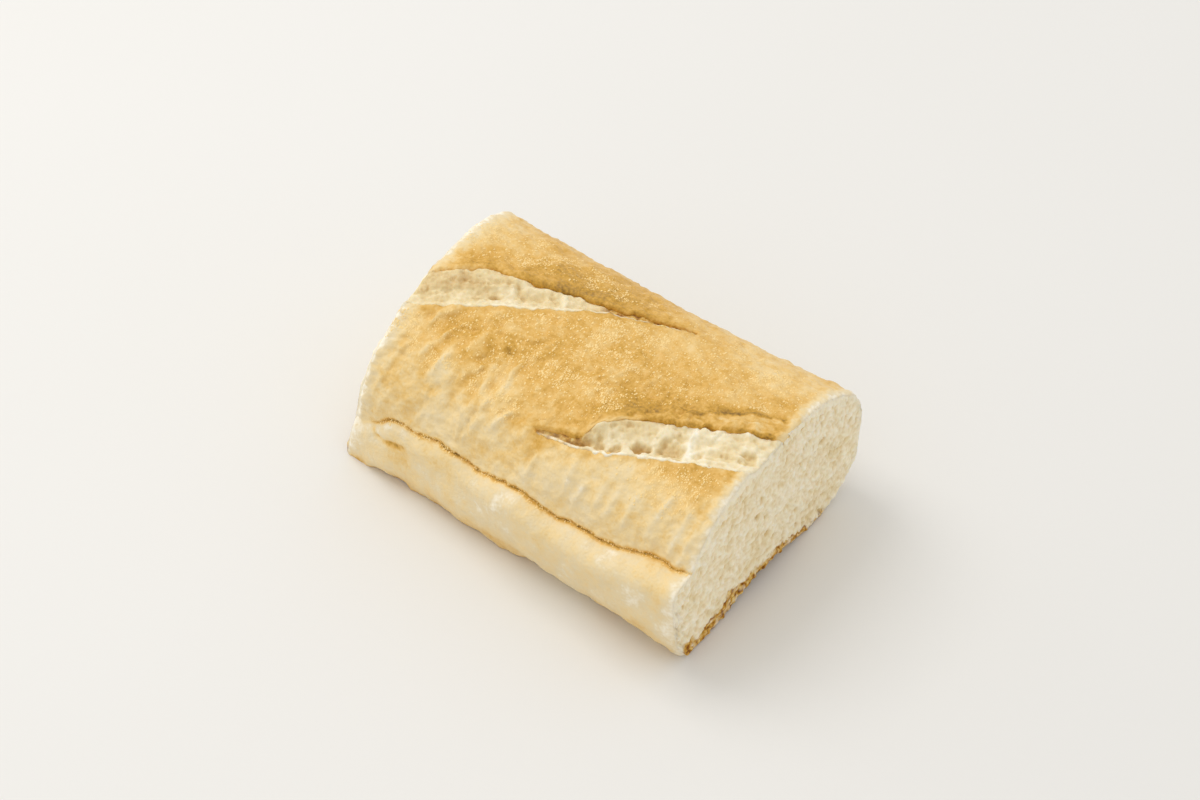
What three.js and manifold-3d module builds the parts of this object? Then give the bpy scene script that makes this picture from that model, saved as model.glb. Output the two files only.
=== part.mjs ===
// A short length of a pale, flat baguette, cut across at both ends and lying on its base.
// Millimetres. +X runs along the loaf with the square cut at its +X end, -Y is the side that
// burst in the oven, +Z is up. The origin is the middle of the loaf's box, on the floor.
//
// The loaf is one closed skin. Each section across it is drawn as a radius around a core line,
// so a section is a function of the angle: a four-quarter superellipse, plus the swollen band
// under the side seam, less the seam's own groove. The two open scores on top are then cut out
// of it, each with a floor that follows the skin and deepens towards the lip the blade lifted.
import * as THREE from "three";
import { mergeVertices } from "three/addons/utils/BufferGeometryUtils.js";
import Module from "manifold-3d";

// Length and ends
const HALF_LENGTH = 57.5; // the square cut stands this far from the middle of the loaf
const SLANTED_CUT = -59.0; // the other cut, where it meets the floor under the core line
const SLANT_PER_HEIGHT = 0.161; // how far that cut leans in over the loaf, per mm of height
const SLANT_PER_WIDTH = -0.1; // and how far it runs out towards +Y, per mm of width

// Section: the quarters of the superellipse around the core line
const CORE_HEIGHT = 20.0;
const CROWN_RISE = 28.2; // core line to the top, at mid length
const CROWN_RISE_AT_ENDS = 1.0; // added towards the cuts
const BASE_DROP = 22.3; // a little more than the core height, so the base is trimmed flat
const FAR_HALF_WIDTH = 42.2; // core line to the +Y side, at its narrowest
const FAR_SWELL = 1.3; // added towards the cuts
const NEAR_HALF_WIDTH = [31.2, 37.8]; // core line to the -Y side, slanted cut and square cut
const FAR_POWERS = [2.35, 2.9]; // squareness of the +Y quarters, above and below the core line
const NEAR_TOP_POWER = [2.0, 2.75]; // the -Y quarter above, slanted cut and square cut
const NEAR_BASE_POWER = 3.5;

// Hollow under the base: the loaf stands on two long strips
const ARCH_HEIGHT = 3.6;
const ARCH_MIDDLE = -1.0; // across the loaf
const ARCH_HALF_WIDTH = 21.0;

// Side seam: the angle of its crease, and the band of paler crust that swelled out below it
const SEAM_ANGLE = 172.6; // degrees round from +Y over the top, at mid length
const SEAM_TILT = -6.6; // change from mid length to the square cut
const SEAM_BEND = -4.6; // change towards both cuts
const SEAM_DIP = 18.0; // drop over the last stretch before the slanted cut
const FOOT_ANGLE = 211.0; // where the band reaches the floor
const BAND_AT_SEAM = [0.6, 8.0]; // how far the band stands out, slanted cut and square cut
const BAND_AT_FOOT = [6.6, 2.2];
const BAND_ROUNDING = 0.32; // share of the band's height that its rounded top takes up
const SEAM_GROOVE = { depth: 1.2, half_width: 1.5 }; // degrees wide
const SEAM_LIP = { rise: 0.6, half_width: 4.0 };
const SHORT_CREASE = { angle: 187.3, tilt: -0.3, from: -48.0, to: -29.0, depth: 0.7, half_width: 1.8 };

// Scores: each starts at a tip as a closed line and opens along its run to one of the cuts.
// The heading is the direction of the run in plan, degrees from +X, and the bow bends its middle line sideways.
const SCORES = [
  { tip: [4.2, -28.0], heading: 23, run: 58, closed: 0, opens_over: 36, half_width: 7.0, bow: 0.4, depth: 2.6 },
  { tip: [20.8, 25.5], heading: 206, run: 77, closed: 8, opens_over: 54, half_width: 6.2, bow: -1.9, depth: 2.8 },
];
const SCORE_LINE = { depth: 0.8, half_width: 0.55 }; // the closed part near the tip
const DEPTH_AT_CUT = 0.5; // share of the depth that is left where a score runs out at a cut
const DEPTH_AT_LOW_LIP = 0.3; // and at the lip that wasn't lifted
const LIP_RISE = 0.9; // the crust stands up along the lifted lip
const LIP_REACH = 5.0;
const POCKET = { pitch: 7.6, radius: 3.4, depth: 0.9 }; // torn bubbles along an open score
const SCORE_STEP = 1.8; // mesh step along a score
const SCORE_COLUMNS = 8; // and the number of steps across it
const OVERRUN = 7.0; // a score's cutter runs on past the cut

// Mesh: places along the loaf, and columns round each section, in degrees
const STATIONS = 44;
const SEAM_OFFSETS = [-4.5, -3.0, -1.8, -0.9, 0.0, 0.8, 1.7, 3.0, 5.0, 8.0];
const FOOT_STRIPS = [214, 222, 315, 321]; // edges of the two strips that stand on the floor
const TOP_COLUMNS = 56;
const BASE_COLUMNS = 11;
const BAND_COLUMNS = 8;
const SLIVER = 0.03; // thinner triangles left by cutting out the scores are merged away

const radians = THREE.MathUtils.degToRad;
const mix = THREE.MathUtils.lerp;
const clamp01 = (t) => Math.min(1, Math.max(0, t));
const smooth = (t) => clamp01(t) ** 2 * (3 - 2 * clamp01(t));
const bump = (t) => Math.exp(-t * t);

// Angle of the seam's crease, in degrees, at a place along the loaf from -1 to 1.
function seamAngle(along) {
  const dip = SEAM_DIP * smooth((-0.6 - along) / 0.32);
  return SEAM_ANGLE + SEAM_TILT * along + SEAM_BEND * along * along + dip;
}

// Radius of the plain superellipse section.
function plainRadius(along, angle) {
  const c = Math.cos(angle);
  const s = Math.sin(angle);
  const far = FAR_HALF_WIDTH + FAR_SWELL * (along - 0.1) ** 2;
  const grown = (along + 1) / 2;
  const near = mix(...NEAR_HALF_WIDTH, 1.35 * grown - 0.35 * grown ** 2);
  const nearTopPower = mix(...NEAR_TOP_POWER, smooth((along + 1) / 1.4));
  const width = c >= 0 ? far : near;
  const height = s >= 0 ? CROWN_RISE + CROWN_RISE_AT_ENDS * along * along : BASE_DROP;
  const topPower = c >= 0 ? FAR_POWERS[0] : nearTopPower;
  const basePower = c >= 0 ? FAR_POWERS[1] : NEAR_BASE_POWER;
  const power = s >= 0 ? topPower : basePower;
  return (Math.abs(c / width) ** power + Math.abs(s / height) ** power) ** (-1 / power);
}

// How far the crust stands out or in at the burst side: the band, its rounded ledge, the groove and the short crease.
function sideRelief(x, along, degrees) {
  const seam = seamAngle(along);
  const below = (degrees - seam) / (FOOT_ANGLE - seam);
  const atSeam = mix(...BAND_AT_SEAM, smooth((along + 1) / 2));
  const atFoot = mix(...BAND_AT_FOOT, (along + 1) / 2);
  let relief = 0;
  if (below > 0) {
    const ledge = 1 - (1 - clamp01(below / BAND_ROUNDING)) ** 4;
    const underside = 1 - smooth((below - 1) / 0.35);
    relief += ledge * mix(atSeam, atFoot, clamp01(below)) * underside;
  } else {
    relief += SEAM_LIP.rise * bump((degrees - seam) / SEAM_LIP.half_width);
  }
  relief -= SEAM_GROOVE.depth * bump((degrees - seam) / SEAM_GROOVE.half_width);
  const creaseEnds = smooth((x - SHORT_CREASE.from) / 5) * smooth((SHORT_CREASE.to - x) / 5);
  const creaseAngle = SHORT_CREASE.angle + SHORT_CREASE.tilt * (x - (SHORT_CREASE.from + SHORT_CREASE.to) / 2);
  relief -= SHORT_CREASE.depth * creaseEnds * bump((degrees - creaseAngle) / SHORT_CREASE.half_width);
  return relief;
}

// Half width of a score's opening at a distance from its tip.
function scoreHalfWidth(score, run) {
  return score.half_width * smooth((run - score.closed) / score.opens_over);
}

// Sideways place of a score's middle line at a distance from its tip.
function scoreBow(score, run) {
  return score.bow * Math.sin(Math.PI * clamp01(run / score.run));
}

// Rise of the crust along the lifted lip of a score, at a place in plan. Both scores are lifted on their +Y side.
function lipRise(score, x, y) {
  const heading = radians(score.heading);
  const dx = x - score.tip[0];
  const dy = y - score.tip[1];
  const run = dx * Math.cos(heading) + dy * Math.sin(heading);
  const left = dy * Math.cos(heading) - dx * Math.sin(heading);
  const across = Math.sign(Math.cos(heading)) * (left - scoreBow(score, run));
  const half = scoreHalfWidth(score, run);
  return LIP_RISE * smooth(half / 4) * bump((across - half) / LIP_REACH);
}

// Broad unevenness of hand-shaped dough: a few long waves that cross each other, none on the base.
function unevenness(x, degrees) {
  const a = radians(degrees);
  const long = 0.32 * Math.sin(x / 11 + 2.2 * a);
  const short = 0.24 * Math.sin(x / 6.5 - 4.1 * a + 1.3) + 0.18 * Math.sin(x / 4.2 + 6.3 * a + 0.6);
  return (long + short) * smooth((degrees - 20) / 50) * smooth((205 - degrees) / 25);
}

// A point of the skin, at a place along the loaf and an angle round it from -90 to 270 degrees.
function skinPoint(x, degrees) {
  const along = x / HALF_LENGTH;
  const angle = radians(degrees);
  const plain = plainRadius(along, angle);
  let radius = plain + sideRelief(x, along, degrees) + unevenness(x, degrees);
  if (degrees > 0 && degrees < 180) {
    for (const score of SCORES) radius += lipRise(score, x, plain * Math.cos(angle));
  }
  const y = radius * Math.cos(angle);
  let z = CORE_HEIGHT + radius * Math.sin(angle);
  if (Math.sin(angle) < 0) {
    z = Math.max(z, 0) + ARCH_HEIGHT * clamp01(1 - ((y - ARCH_MIDDLE) / ARCH_HALF_WIDTH) ** 2) ** 1.5;
  }
  return new THREE.Vector3(x, y, z);
}

// The point of the skin's top over a place in plan, found by halving the range of angles.
function topPoint(x, y) {
  let [low, high] = [15, 160];
  for (let pass = 0; pass < 30; pass += 1) {
    const middle = (low + high) / 2;
    if (skinPoint(x, middle).y > y) low = middle;
    else high = middle;
  }
  return skinPoint(x, low);
}

// Angles of the columns at one place along the loaf: close together at the seam, which they follow.
function columnAngles(along) {
  const seam = seamAngle(along);
  const between = (from, to, count) => Array.from({ length: count }, (_, i) => mix(from, to, (i + 1) / (count + 1)));
  const below = seam + SEAM_OFFSETS.at(-1);
  const above = seam + SEAM_OFFSETS[0] + 360;
  const angles = [
    ...SEAM_OFFSETS.map((offset) => seam + offset),
    ...between(below, FOOT_STRIPS[0], BAND_COLUMNS),
    FOOT_STRIPS[0],
    FOOT_STRIPS[1],
    ...between(FOOT_STRIPS[1], FOOT_STRIPS[2], BASE_COLUMNS),
    FOOT_STRIPS[2],
    FOOT_STRIPS[3],
    ...between(FOOT_STRIPS[3], above, TOP_COLUMNS),
  ];
  return angles.map((degrees) => (degrees >= 270 ? degrees - 360 : degrees));
}

// One ring of the skin. The share runs from 0 at the slanted cut to 1 at the square cut.
function ring(share) {
  const plainX = mix(SLANTED_CUT, HALF_LENGTH, share);
  return columnAngles(plainX / HALF_LENGTH).map((_, column) => {
    let at = new THREE.Vector3(plainX, 0, CORE_HEIGHT);
    for (let pass = 0; pass < 4; pass += 1) {
      const cut = SLANTED_CUT + SLANT_PER_HEIGHT * at.z + SLANT_PER_WIDTH * at.y;
      const x = mix(cut, HALF_LENGTH, share);
      at = skinPoint(x, columnAngles(x / HALF_LENGTH)[column]);
    }
    return at;
  });
}

// A geometry from rings of equally many points: neighbours joined by quads, each end closed by a fan around its core.
function ringGeometry(rings, cores) {
  const columns = rings[0].length;
  const last = rings.length - 1;
  const points = [...rings.flat(), ...cores];
  const corner = (i, j) => i * columns + (j % columns);
  const faces = [];
  for (let j = 0; j < columns; j += 1) {
    for (let i = 0; i < last; i += 1) {
      faces.push(corner(i, j), corner(i, j + 1), corner(i + 1, j + 1));
      faces.push(corner(i, j), corner(i + 1, j + 1), corner(i + 1, j));
    }
    faces.push(points.length - 2, corner(0, j + 1), corner(0, j));
    faces.push(points.length - 1, corner(last, j), corner(last, j + 1));
  }
  const geometry = new THREE.BufferGeometry().setFromPoints(points);
  geometry.setIndex(faces);
  return geometry;
}

// The loaf before it is scored.
function loafGeometry() {
  const rings = Array.from({ length: STATIONS + 1 }, (_, i) => ring(i / STATIONS));
  const cores = [SLANTED_CUT + SLANT_PER_HEIGHT * CORE_HEIGHT, HALF_LENGTH].map((x) => new THREE.Vector3(x, 0, CORE_HEIGHT));
  return ringGeometry(rings, cores);
}

// Depth of the torn bubbles in a score's floor: one every pitch, alternately nearer to and further from the low lip.
function pocketDepth(run, fromLowLip) {
  const count = Math.round(run / POCKET.pitch);
  const middle = count % 2 === 0 ? 4.2 : 7.4;
  const away = Math.hypot(run - count * POCKET.pitch, fromLowLip - middle) / POCKET.radius;
  return POCKET.depth * (1 - smooth(away));
}

// The space a score takes out of the loaf: a ribbon over its opening whose underside is the score's floor.
function scoreGeometry(score) {
  const heading = radians(score.heading);
  const lifted = Math.sign(Math.cos(heading));
  const steps = Math.round((score.run + OVERRUN) / SCORE_STEP);
  const rings = [];
  for (let i = 0; i <= steps; i += 1) {
    const run = (i / steps) * (score.run + OVERRUN);
    const open = scoreHalfWidth(score, run);
    const half = Math.max(open, SCORE_LINE.half_width);
    const ends = mix(1, DEPTH_AT_CUT, smooth((run / score.run - 0.55) / 0.45));
    const depth = SCORE_LINE.depth + (score.depth - SCORE_LINE.depth) * smooth(open / 3.5) * ends;
    const floor = [];
    const roof = [];
    for (let j = 0; j <= SCORE_COLUMNS; j += 1) {
      const share = j / SCORE_COLUMNS;
      const side = scoreBow(score, run) + lifted * mix(-half, half, share);
      const x = score.tip[0] + run * Math.cos(heading) - side * Math.sin(heading);
      const y = score.tip[1] + run * Math.sin(heading) + side * Math.cos(heading);
      const sunk = depth * mix(DEPTH_AT_LOW_LIP, 1, share) + pocketDepth(run, share * 2 * half) * smooth(open / 4);
      const top = topPoint(x, y);
      floor.push(top.clone().setZ(top.z - sunk));
      roof.push(top.clone().setZ(top.z + 6));
    }
    rings.push(lifted > 0 ? [...floor, ...roof.reverse()] : [...roof, ...floor.reverse()]);
  }
  const cores = [rings[0], rings.at(-1)].map((r) => r[0].clone().add(r[SCORE_COLUMNS + 1]).multiplyScalar(0.5));
  return ringGeometry(rings, cores);
}

const wasm = await Module();
wasm.setup();

// A closed geometry as a solid of the manifold library, and back.
function solidOf(geometry) {
  const merged = mergeVertices(geometry, 1e-4);
  const solid = new wasm.Manifold(
    new wasm.Mesh({
      numProp: 3,
      vertProperties: merged.attributes.position.array,
      triVerts: new Uint32Array(merged.index.array),
    }),
  );
  return solid;
}

function geometryOf(solid) {
  const mesh = solid.getMesh();
  const geometry = new THREE.BufferGeometry();
  geometry.setAttribute("position", new THREE.BufferAttribute(mesh.vertProperties, 3));
  geometry.setIndex(new THREE.BufferAttribute(mesh.triVerts, 1));
  return geometry;
}

let loaf = solidOf(loafGeometry());
for (const score of SCORES) loaf = loaf.subtract(solidOf(scoreGeometry(score)));
const geometry = geometryOf(loaf.simplify(SLIVER));
geometry.computeBoundingBox();
const box = geometry.boundingBox;
geometry.translate(-(box.min.x + box.max.x) / 2, -(box.min.y + box.max.y) / 2, -box.min.z);
geometry.computeVertexNormals();

const crust = new THREE.MeshStandardMaterial({ name: "crust", color: 0xe2bf7c, roughness: 0.75 });
const baguette = new THREE.Mesh(geometry, crust);
baguette.name = "baguette";

const part = new THREE.Group();
part.name = "baguette_length";
part.add(baguette);
export default part;
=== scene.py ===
# %% [markdown]
# A short length of a pale, flat baguette, cut across at both ends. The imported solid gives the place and
# the size. This lesson builds the surface that the eye sees around it: a thin baked crust, the torn crumb
# inside two open scores, the open crumb at both cuts and the small blisters of the oven. Every piece is a
# sheet of points worked out by a formula, so a change to one number carries through.

from types import SimpleNamespace

import bpy
import numpy as np
from mathutils import Matrix, Vector


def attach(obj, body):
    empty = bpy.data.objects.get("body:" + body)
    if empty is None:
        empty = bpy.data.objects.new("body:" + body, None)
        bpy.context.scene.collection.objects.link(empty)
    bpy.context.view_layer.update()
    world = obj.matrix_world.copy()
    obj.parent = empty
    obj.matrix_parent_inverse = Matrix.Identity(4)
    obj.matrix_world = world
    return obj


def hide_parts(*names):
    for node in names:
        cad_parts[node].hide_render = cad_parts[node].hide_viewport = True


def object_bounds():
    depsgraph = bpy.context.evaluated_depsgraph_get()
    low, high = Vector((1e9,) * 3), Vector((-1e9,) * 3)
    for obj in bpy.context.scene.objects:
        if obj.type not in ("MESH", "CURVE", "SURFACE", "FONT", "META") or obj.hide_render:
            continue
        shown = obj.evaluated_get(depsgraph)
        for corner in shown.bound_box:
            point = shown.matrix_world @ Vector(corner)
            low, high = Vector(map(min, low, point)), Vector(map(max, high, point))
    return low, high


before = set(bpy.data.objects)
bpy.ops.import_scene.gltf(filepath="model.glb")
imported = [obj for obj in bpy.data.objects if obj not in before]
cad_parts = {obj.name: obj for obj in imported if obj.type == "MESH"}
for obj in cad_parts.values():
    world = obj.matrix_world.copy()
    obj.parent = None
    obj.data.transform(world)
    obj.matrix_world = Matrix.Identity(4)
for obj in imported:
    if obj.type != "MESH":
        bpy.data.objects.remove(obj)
cad_low, cad_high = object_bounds()
MM = 0.001
print("CAD box, mm:", [round(side / MM, 1) for side in cad_high - cad_low])

# %% [markdown]
# Bread has few straight lines, so almost every shape below is a sum of soft steps, soft bumps and lines
# drawn through a few given places. A soft step is written as a ramp between two real places, in
# millimetres or degrees, because places are easier to check on the loaf than widths.

# %% Soft steps, bumps and drawn lines


def clamp01(t):
    """t held between 0 and 1."""
    return np.clip(t, 0.0, 1.0)


def smooth(t):
    """A soft step: 0 below 0, 1 above 1, and an S-curve between."""
    t = clamp01(t)
    return t * t * (3 - 2 * t)


def ramp(t, start, end):
    """A soft step that is 0 before start and 1 past end, which may lie on either side of start."""
    return smooth((t - start) / (end - start))


def bump(t):
    """A bell of height 1 at 0 that is nearly gone beyond 2 on either side."""
    return np.exp(-t * t)


def mix(a, b, t):
    """The value a share t of the way from a to b."""
    return a + (b - a) * t


def follow(line, t):
    """The value at t on a line drawn through a few (t, value) points."""
    return np.interp(t, *np.transpose(line))


def drawn_lines(lines, t, across, width, fade):
    """Height over drawn lines: each has its height, is a bell across and fades over its two ends."""
    total = 0.0
    for height, line in lines:
        start, end = line[0][0], line[-1][0]
        there = ramp(t, start, start + fade) * ramp(t, end, end - fade)
        total = total + height * there * bump((across - follow(line, t)) / width)
    return total


print("a ramp from 10 to 30, at 15:", ramp(15.0, 10, 30))

# %% [markdown]
# Dough is uneven at every size, and smooth noise imitates that. Blender has noise textures for modifiers,
# but numpy noise can be read at any point by several pieces, so the crust, the lips of the scores and the
# blisters all agree on where the skin is.

# %% Dough noise
LATTICE_VALUES = 4096
LATTICE_SHIFT = 500.0
HASH_PRIMES = np.array([73856093, 19349663, 83492791])


def sheet(u, v):
    """Two coordinates as places on a flat sheet for the noise."""
    u, v = np.broadcast_arrays(u, v)
    return np.stack([u, v, np.zeros(u.shape)], axis=-1)


def dough_noise(place, size, seed):
    """Smooth noise from -1 to 1: random values on the corners of cells, blended by soft steps.

    The size of a cell is one number, or one for each direction.
    """
    table = np.random.default_rng(seed).uniform(-1, 1, LATTICE_VALUES)
    size = np.append(size, 1.0) if np.size(size) == 2 else np.asarray(size, float)
    scaled = np.asarray(place, float) / size + LATTICE_SHIFT
    cell = np.floor(scaled).astype(np.int64)
    weight = smooth(scaled - cell)
    total = np.zeros(scaled.shape[:-1])
    for corner in np.ndindex(2, 2, 2):
        key = np.bitwise_xor.reduce((cell + corner) * HASH_PRIMES, axis=-1)
        share = np.prod(np.where(corner, weight, 1 - weight), axis=-1)
        total += share * table[key % LATTICE_VALUES]
    return total


def noise_layers(place, layers):
    """Layers of noise added up, each given as its strength, its cell size and its seed."""
    return sum(strength * dough_noise(place, size, seed) for strength, size, seed in layers)


print("noise sample:", np.round(dough_noise(np.eye(3) * 7.3, 5.0, 1), 2))

# %% [markdown]
# The loaf's section is drawn as a radius around a core line, as it is in the CAD source, so these
# formulas and sizes repeat it. Angles are in degrees round from the far side, over the top, and down to
# the side with the burst seam. The near side widens towards the square cut, and every quarter has its own
# squareness.

# %% Section of the loaf, in millimetres
HALF_LENGTH = 57.5
SLANTED_CUT = -59.0
SLANT_PER_HEIGHT = 0.161
SLANT_PER_WIDTH = -0.1
CORE_HEIGHT = 20.0
CROWN_RISE = 28.2
END_RISE = 1.0
BASE_DROP = 22.3
FAR_HALF_WIDTH = 42.2
FAR_FLARE, FAR_WAIST = 1.3, 0.1
NEAR_HALF_WIDTH = (31.2, 37.8)
NEAR_SWELL = 0.35
FAR_POWERS = (2.35, 2.9)
NEAR_TOP_POWER = (2.0, 2.75)
NEAR_BASE_POWER = 3.5
ARCH = dict(height=3.6, middle=-1.0, half_width=21.0, power=1.5)
UNEVEN_WAVES = [(0.32, 11.0, 2.2, 0.0), (0.24, 6.5, -4.1, 1.3), (0.18, 4.2, 6.3, 0.6)]


def plain_radius(x, angle):
    """Radius of a superellipse with its own width, height and squareness in each of its four quarters."""
    along = x / HALF_LENGTH
    across, up = np.cos(angle), np.sin(angle)
    grown = (along + 1) / 2
    far = FAR_HALF_WIDTH + FAR_FLARE * (along - FAR_WAIST) ** 2
    near = mix(*NEAR_HALF_WIDTH, grown + NEAR_SWELL * grown * (1 - grown))
    width = np.where(across >= 0, far, near)
    height = np.where(up >= 0, CROWN_RISE + END_RISE * along**2, BASE_DROP)
    top_power = np.where(across >= 0, FAR_POWERS[0], mix(*NEAR_TOP_POWER, ramp(along, -1, 0.4)))
    base_power = np.where(across >= 0, FAR_POWERS[1], NEAR_BASE_POWER)
    power = np.where(up >= 0, top_power, base_power)
    return (np.abs(across / width) ** power + np.abs(up / height) ** power) ** (-1 / power)


def unevenness(x, degrees):
    """Broad unevenness of hand-shaped dough: long waves that cross each other, none on the base."""
    angle = np.radians(degrees)
    waves = sum(high * np.sin(x / long + turns * angle + phase) for high, long, turns, phase in UNEVEN_WAVES)
    return waves * ramp(degrees, 20, 70) * ramp(degrees, 205, 180)


def base_arch(y):
    """Height of the hollow under the base: an arch that is level at its middle and at its feet."""
    share = 1 - ((y - ARCH["middle"]) / ARCH["half_width"]) ** 2
    return ARCH["height"] * clamp01(share) ** ARCH["power"]


print("radius over the middle of the loaf, mm:", round(float(plain_radius(0.0, np.pi / 2)), 1))

# %% [markdown]
# The near side burst along a seam in the oven, and the dough below it swelled into a band that stands out
# as a ledge. The seam, two creases by the slanted cut and the clear folds above the seam came by chance,
# so each is a line through the few places that it passes. A crease gives its angle at an x, a fold its x
# at an angle.

# %% Burst side
FOOT_ANGLE = 211.0
MM_PER_DEGREE = 0.63
SEAM = dict(angle=172.6, tilt=6.6, bend=4.6, dip=18.0)
SEAM_TEAR = [(0.3, 1.7, 2.0), (0.15, 0.9, 0.0)]
SEAM_WANDER = [
    (-60, -1.5), (-47, -2.3), (-41, -2.5), (-37, -0.5), (-33, 0.4), (-29, -0.3), (-24, -2.2),
    (-19, -1.0), (-13, 0.6), (-8, 0.3), (-1, -2.3), (5, -2.0), (11, 0.0), (16, 2.6), (20, 1.0),
    (30, 1.5), (36, 1.5), (41, 0.0), (45, -0.7), (51, 0.2), (60, 0.5),
]
SEAM_LIP = dict(height=0.3, width=2.5)
SEAM_GROOVE = dict(depth=0.35, width=0.8)
BAND_AT_SEAM = (0.6, 8.0)
BAND_AT_FOOT = (6.6, 2.2)
LEDGE_SHARE, LEDGE_POWER = 0.32, 4
CREASE_WIDTH, CREASE_FADE = 1.3, 3
CREASES = [
    (0.42, [(-47.0, 190.8), (-42.0, 189.0), (-38.0, 187.4), (-33.0, 184.4)]),
    (0.18, [(-50.0, 184.8), (-46.3, 188.3), (-43.5, 190.0)]),
]
FOLD_WIDTH, FOLD_FADE = 0.9, 5
FOLDS = [
    (0.75, [(137, -4.0), (143, -6.8), (147, -8.2), (154, -9.6)]),
    (0.5, [(138, -12.6), (145, -14.0), (153, -15.4)]),
    (0.55, [(124, -17.6), (132, -17.3), (142, -16.3)]),
    (0.5, [(128, -28.6), (138, -31.6), (152, -33.8)]),
    (0.45, [(120, -33.0), (130, -35.6), (142, -38.6)]),
    (0.45, [(148, 22.4), (158, 20.8), (166, 20.0)]),
    (0.45, [(142, 18.0), (158, 16.0)]),
    (0.5, [(143, 27.8), (161, 26.4)]),
    (0.45, [(142, 31.8), (161, 30.4)]),
    (0.5, [(141, 36.6), (153, 36.0), (162, 35.4)]),
    (0.6, [(135, 45.2), (146, 43.8), (160, 42.4)]),
    (0.65, [(138, 51.2), (150, 50.4), (163, 49.4)]),
    (0.55, [(144, 54.8), (156, 53.6), (165, 52.8)]),
]


def seam_angle(x):
    """Angle of the seam: a tilted, bent line that drops near the slanted cut and wanders as a tear does."""
    along = x / HALF_LENGTH
    dip = SEAM["dip"] * ramp(along, -0.6, -0.92)
    tear = sum(height * np.sin(x / length + phase) for height, length, phase in SEAM_TEAR)
    bent = SEAM["angle"] - SEAM["tilt"] * along - SEAM["bend"] * along**2
    return bent + dip + follow(SEAM_WANDER, x) + tear


def seam_opened(x):
    """How far the seam has torn: closed near the slanted cut, then open."""
    return ramp(x, -49, -42)


def crease_place(x, degrees):
    """How deep in a crease a place is, in mm."""
    return drawn_lines(CREASES, x, degrees, CREASE_WIDTH, CREASE_FADE)


def fold_place(x, degrees):
    """How high on a fold a place is, in mm."""
    return drawn_lines(FOLDS, degrees, x, FOLD_WIDTH, FOLD_FADE)


def band_rise(x, degrees):
    """How far the swollen band under the seam stands out: a rounded ledge, then a flat side."""
    along = x / HALF_LENGTH
    seam = seam_angle(x)
    below = (degrees - seam) / (FOOT_ANGLE - seam)
    at_seam = mix(*BAND_AT_SEAM, ramp(along, -1, 1))
    at_foot = mix(*BAND_AT_FOOT, (along + 1) / 2)
    ledge = 1 - (1 - clamp01(below / LEDGE_SHARE)) ** LEDGE_POWER
    underside = ramp(below, 1.35, 1)
    return ledge * mix(at_seam, at_foot, clamp01(below)) * underside


def seam_distance(x, degrees):
    """Distance from the seam over the skin, in mm, negative above it; below it the ledge's width counts."""
    away = (degrees - seam_angle(x)) * MM_PER_DEGREE
    return np.where(away > 0, np.hypot(away, band_rise(x, degrees)), away)


def side_relief(x, degrees):
    """The burst side: the band, a low lip over the seam, the seam's groove and the creases."""
    away = seam_distance(x, degrees)
    lip = SEAM_LIP["height"] * bump(away / SEAM_LIP["width"]) * (away < 0)
    groove = SEAM_GROOVE["depth"] * bump(away / SEAM_GROOVE["width"])
    return band_rise(x, degrees) + seam_opened(x) * (lip - groove) - crease_place(x, degrees)


print("seam at the middle of the loaf, degrees:", round(float(seam_angle(0.0)), 1))
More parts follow.
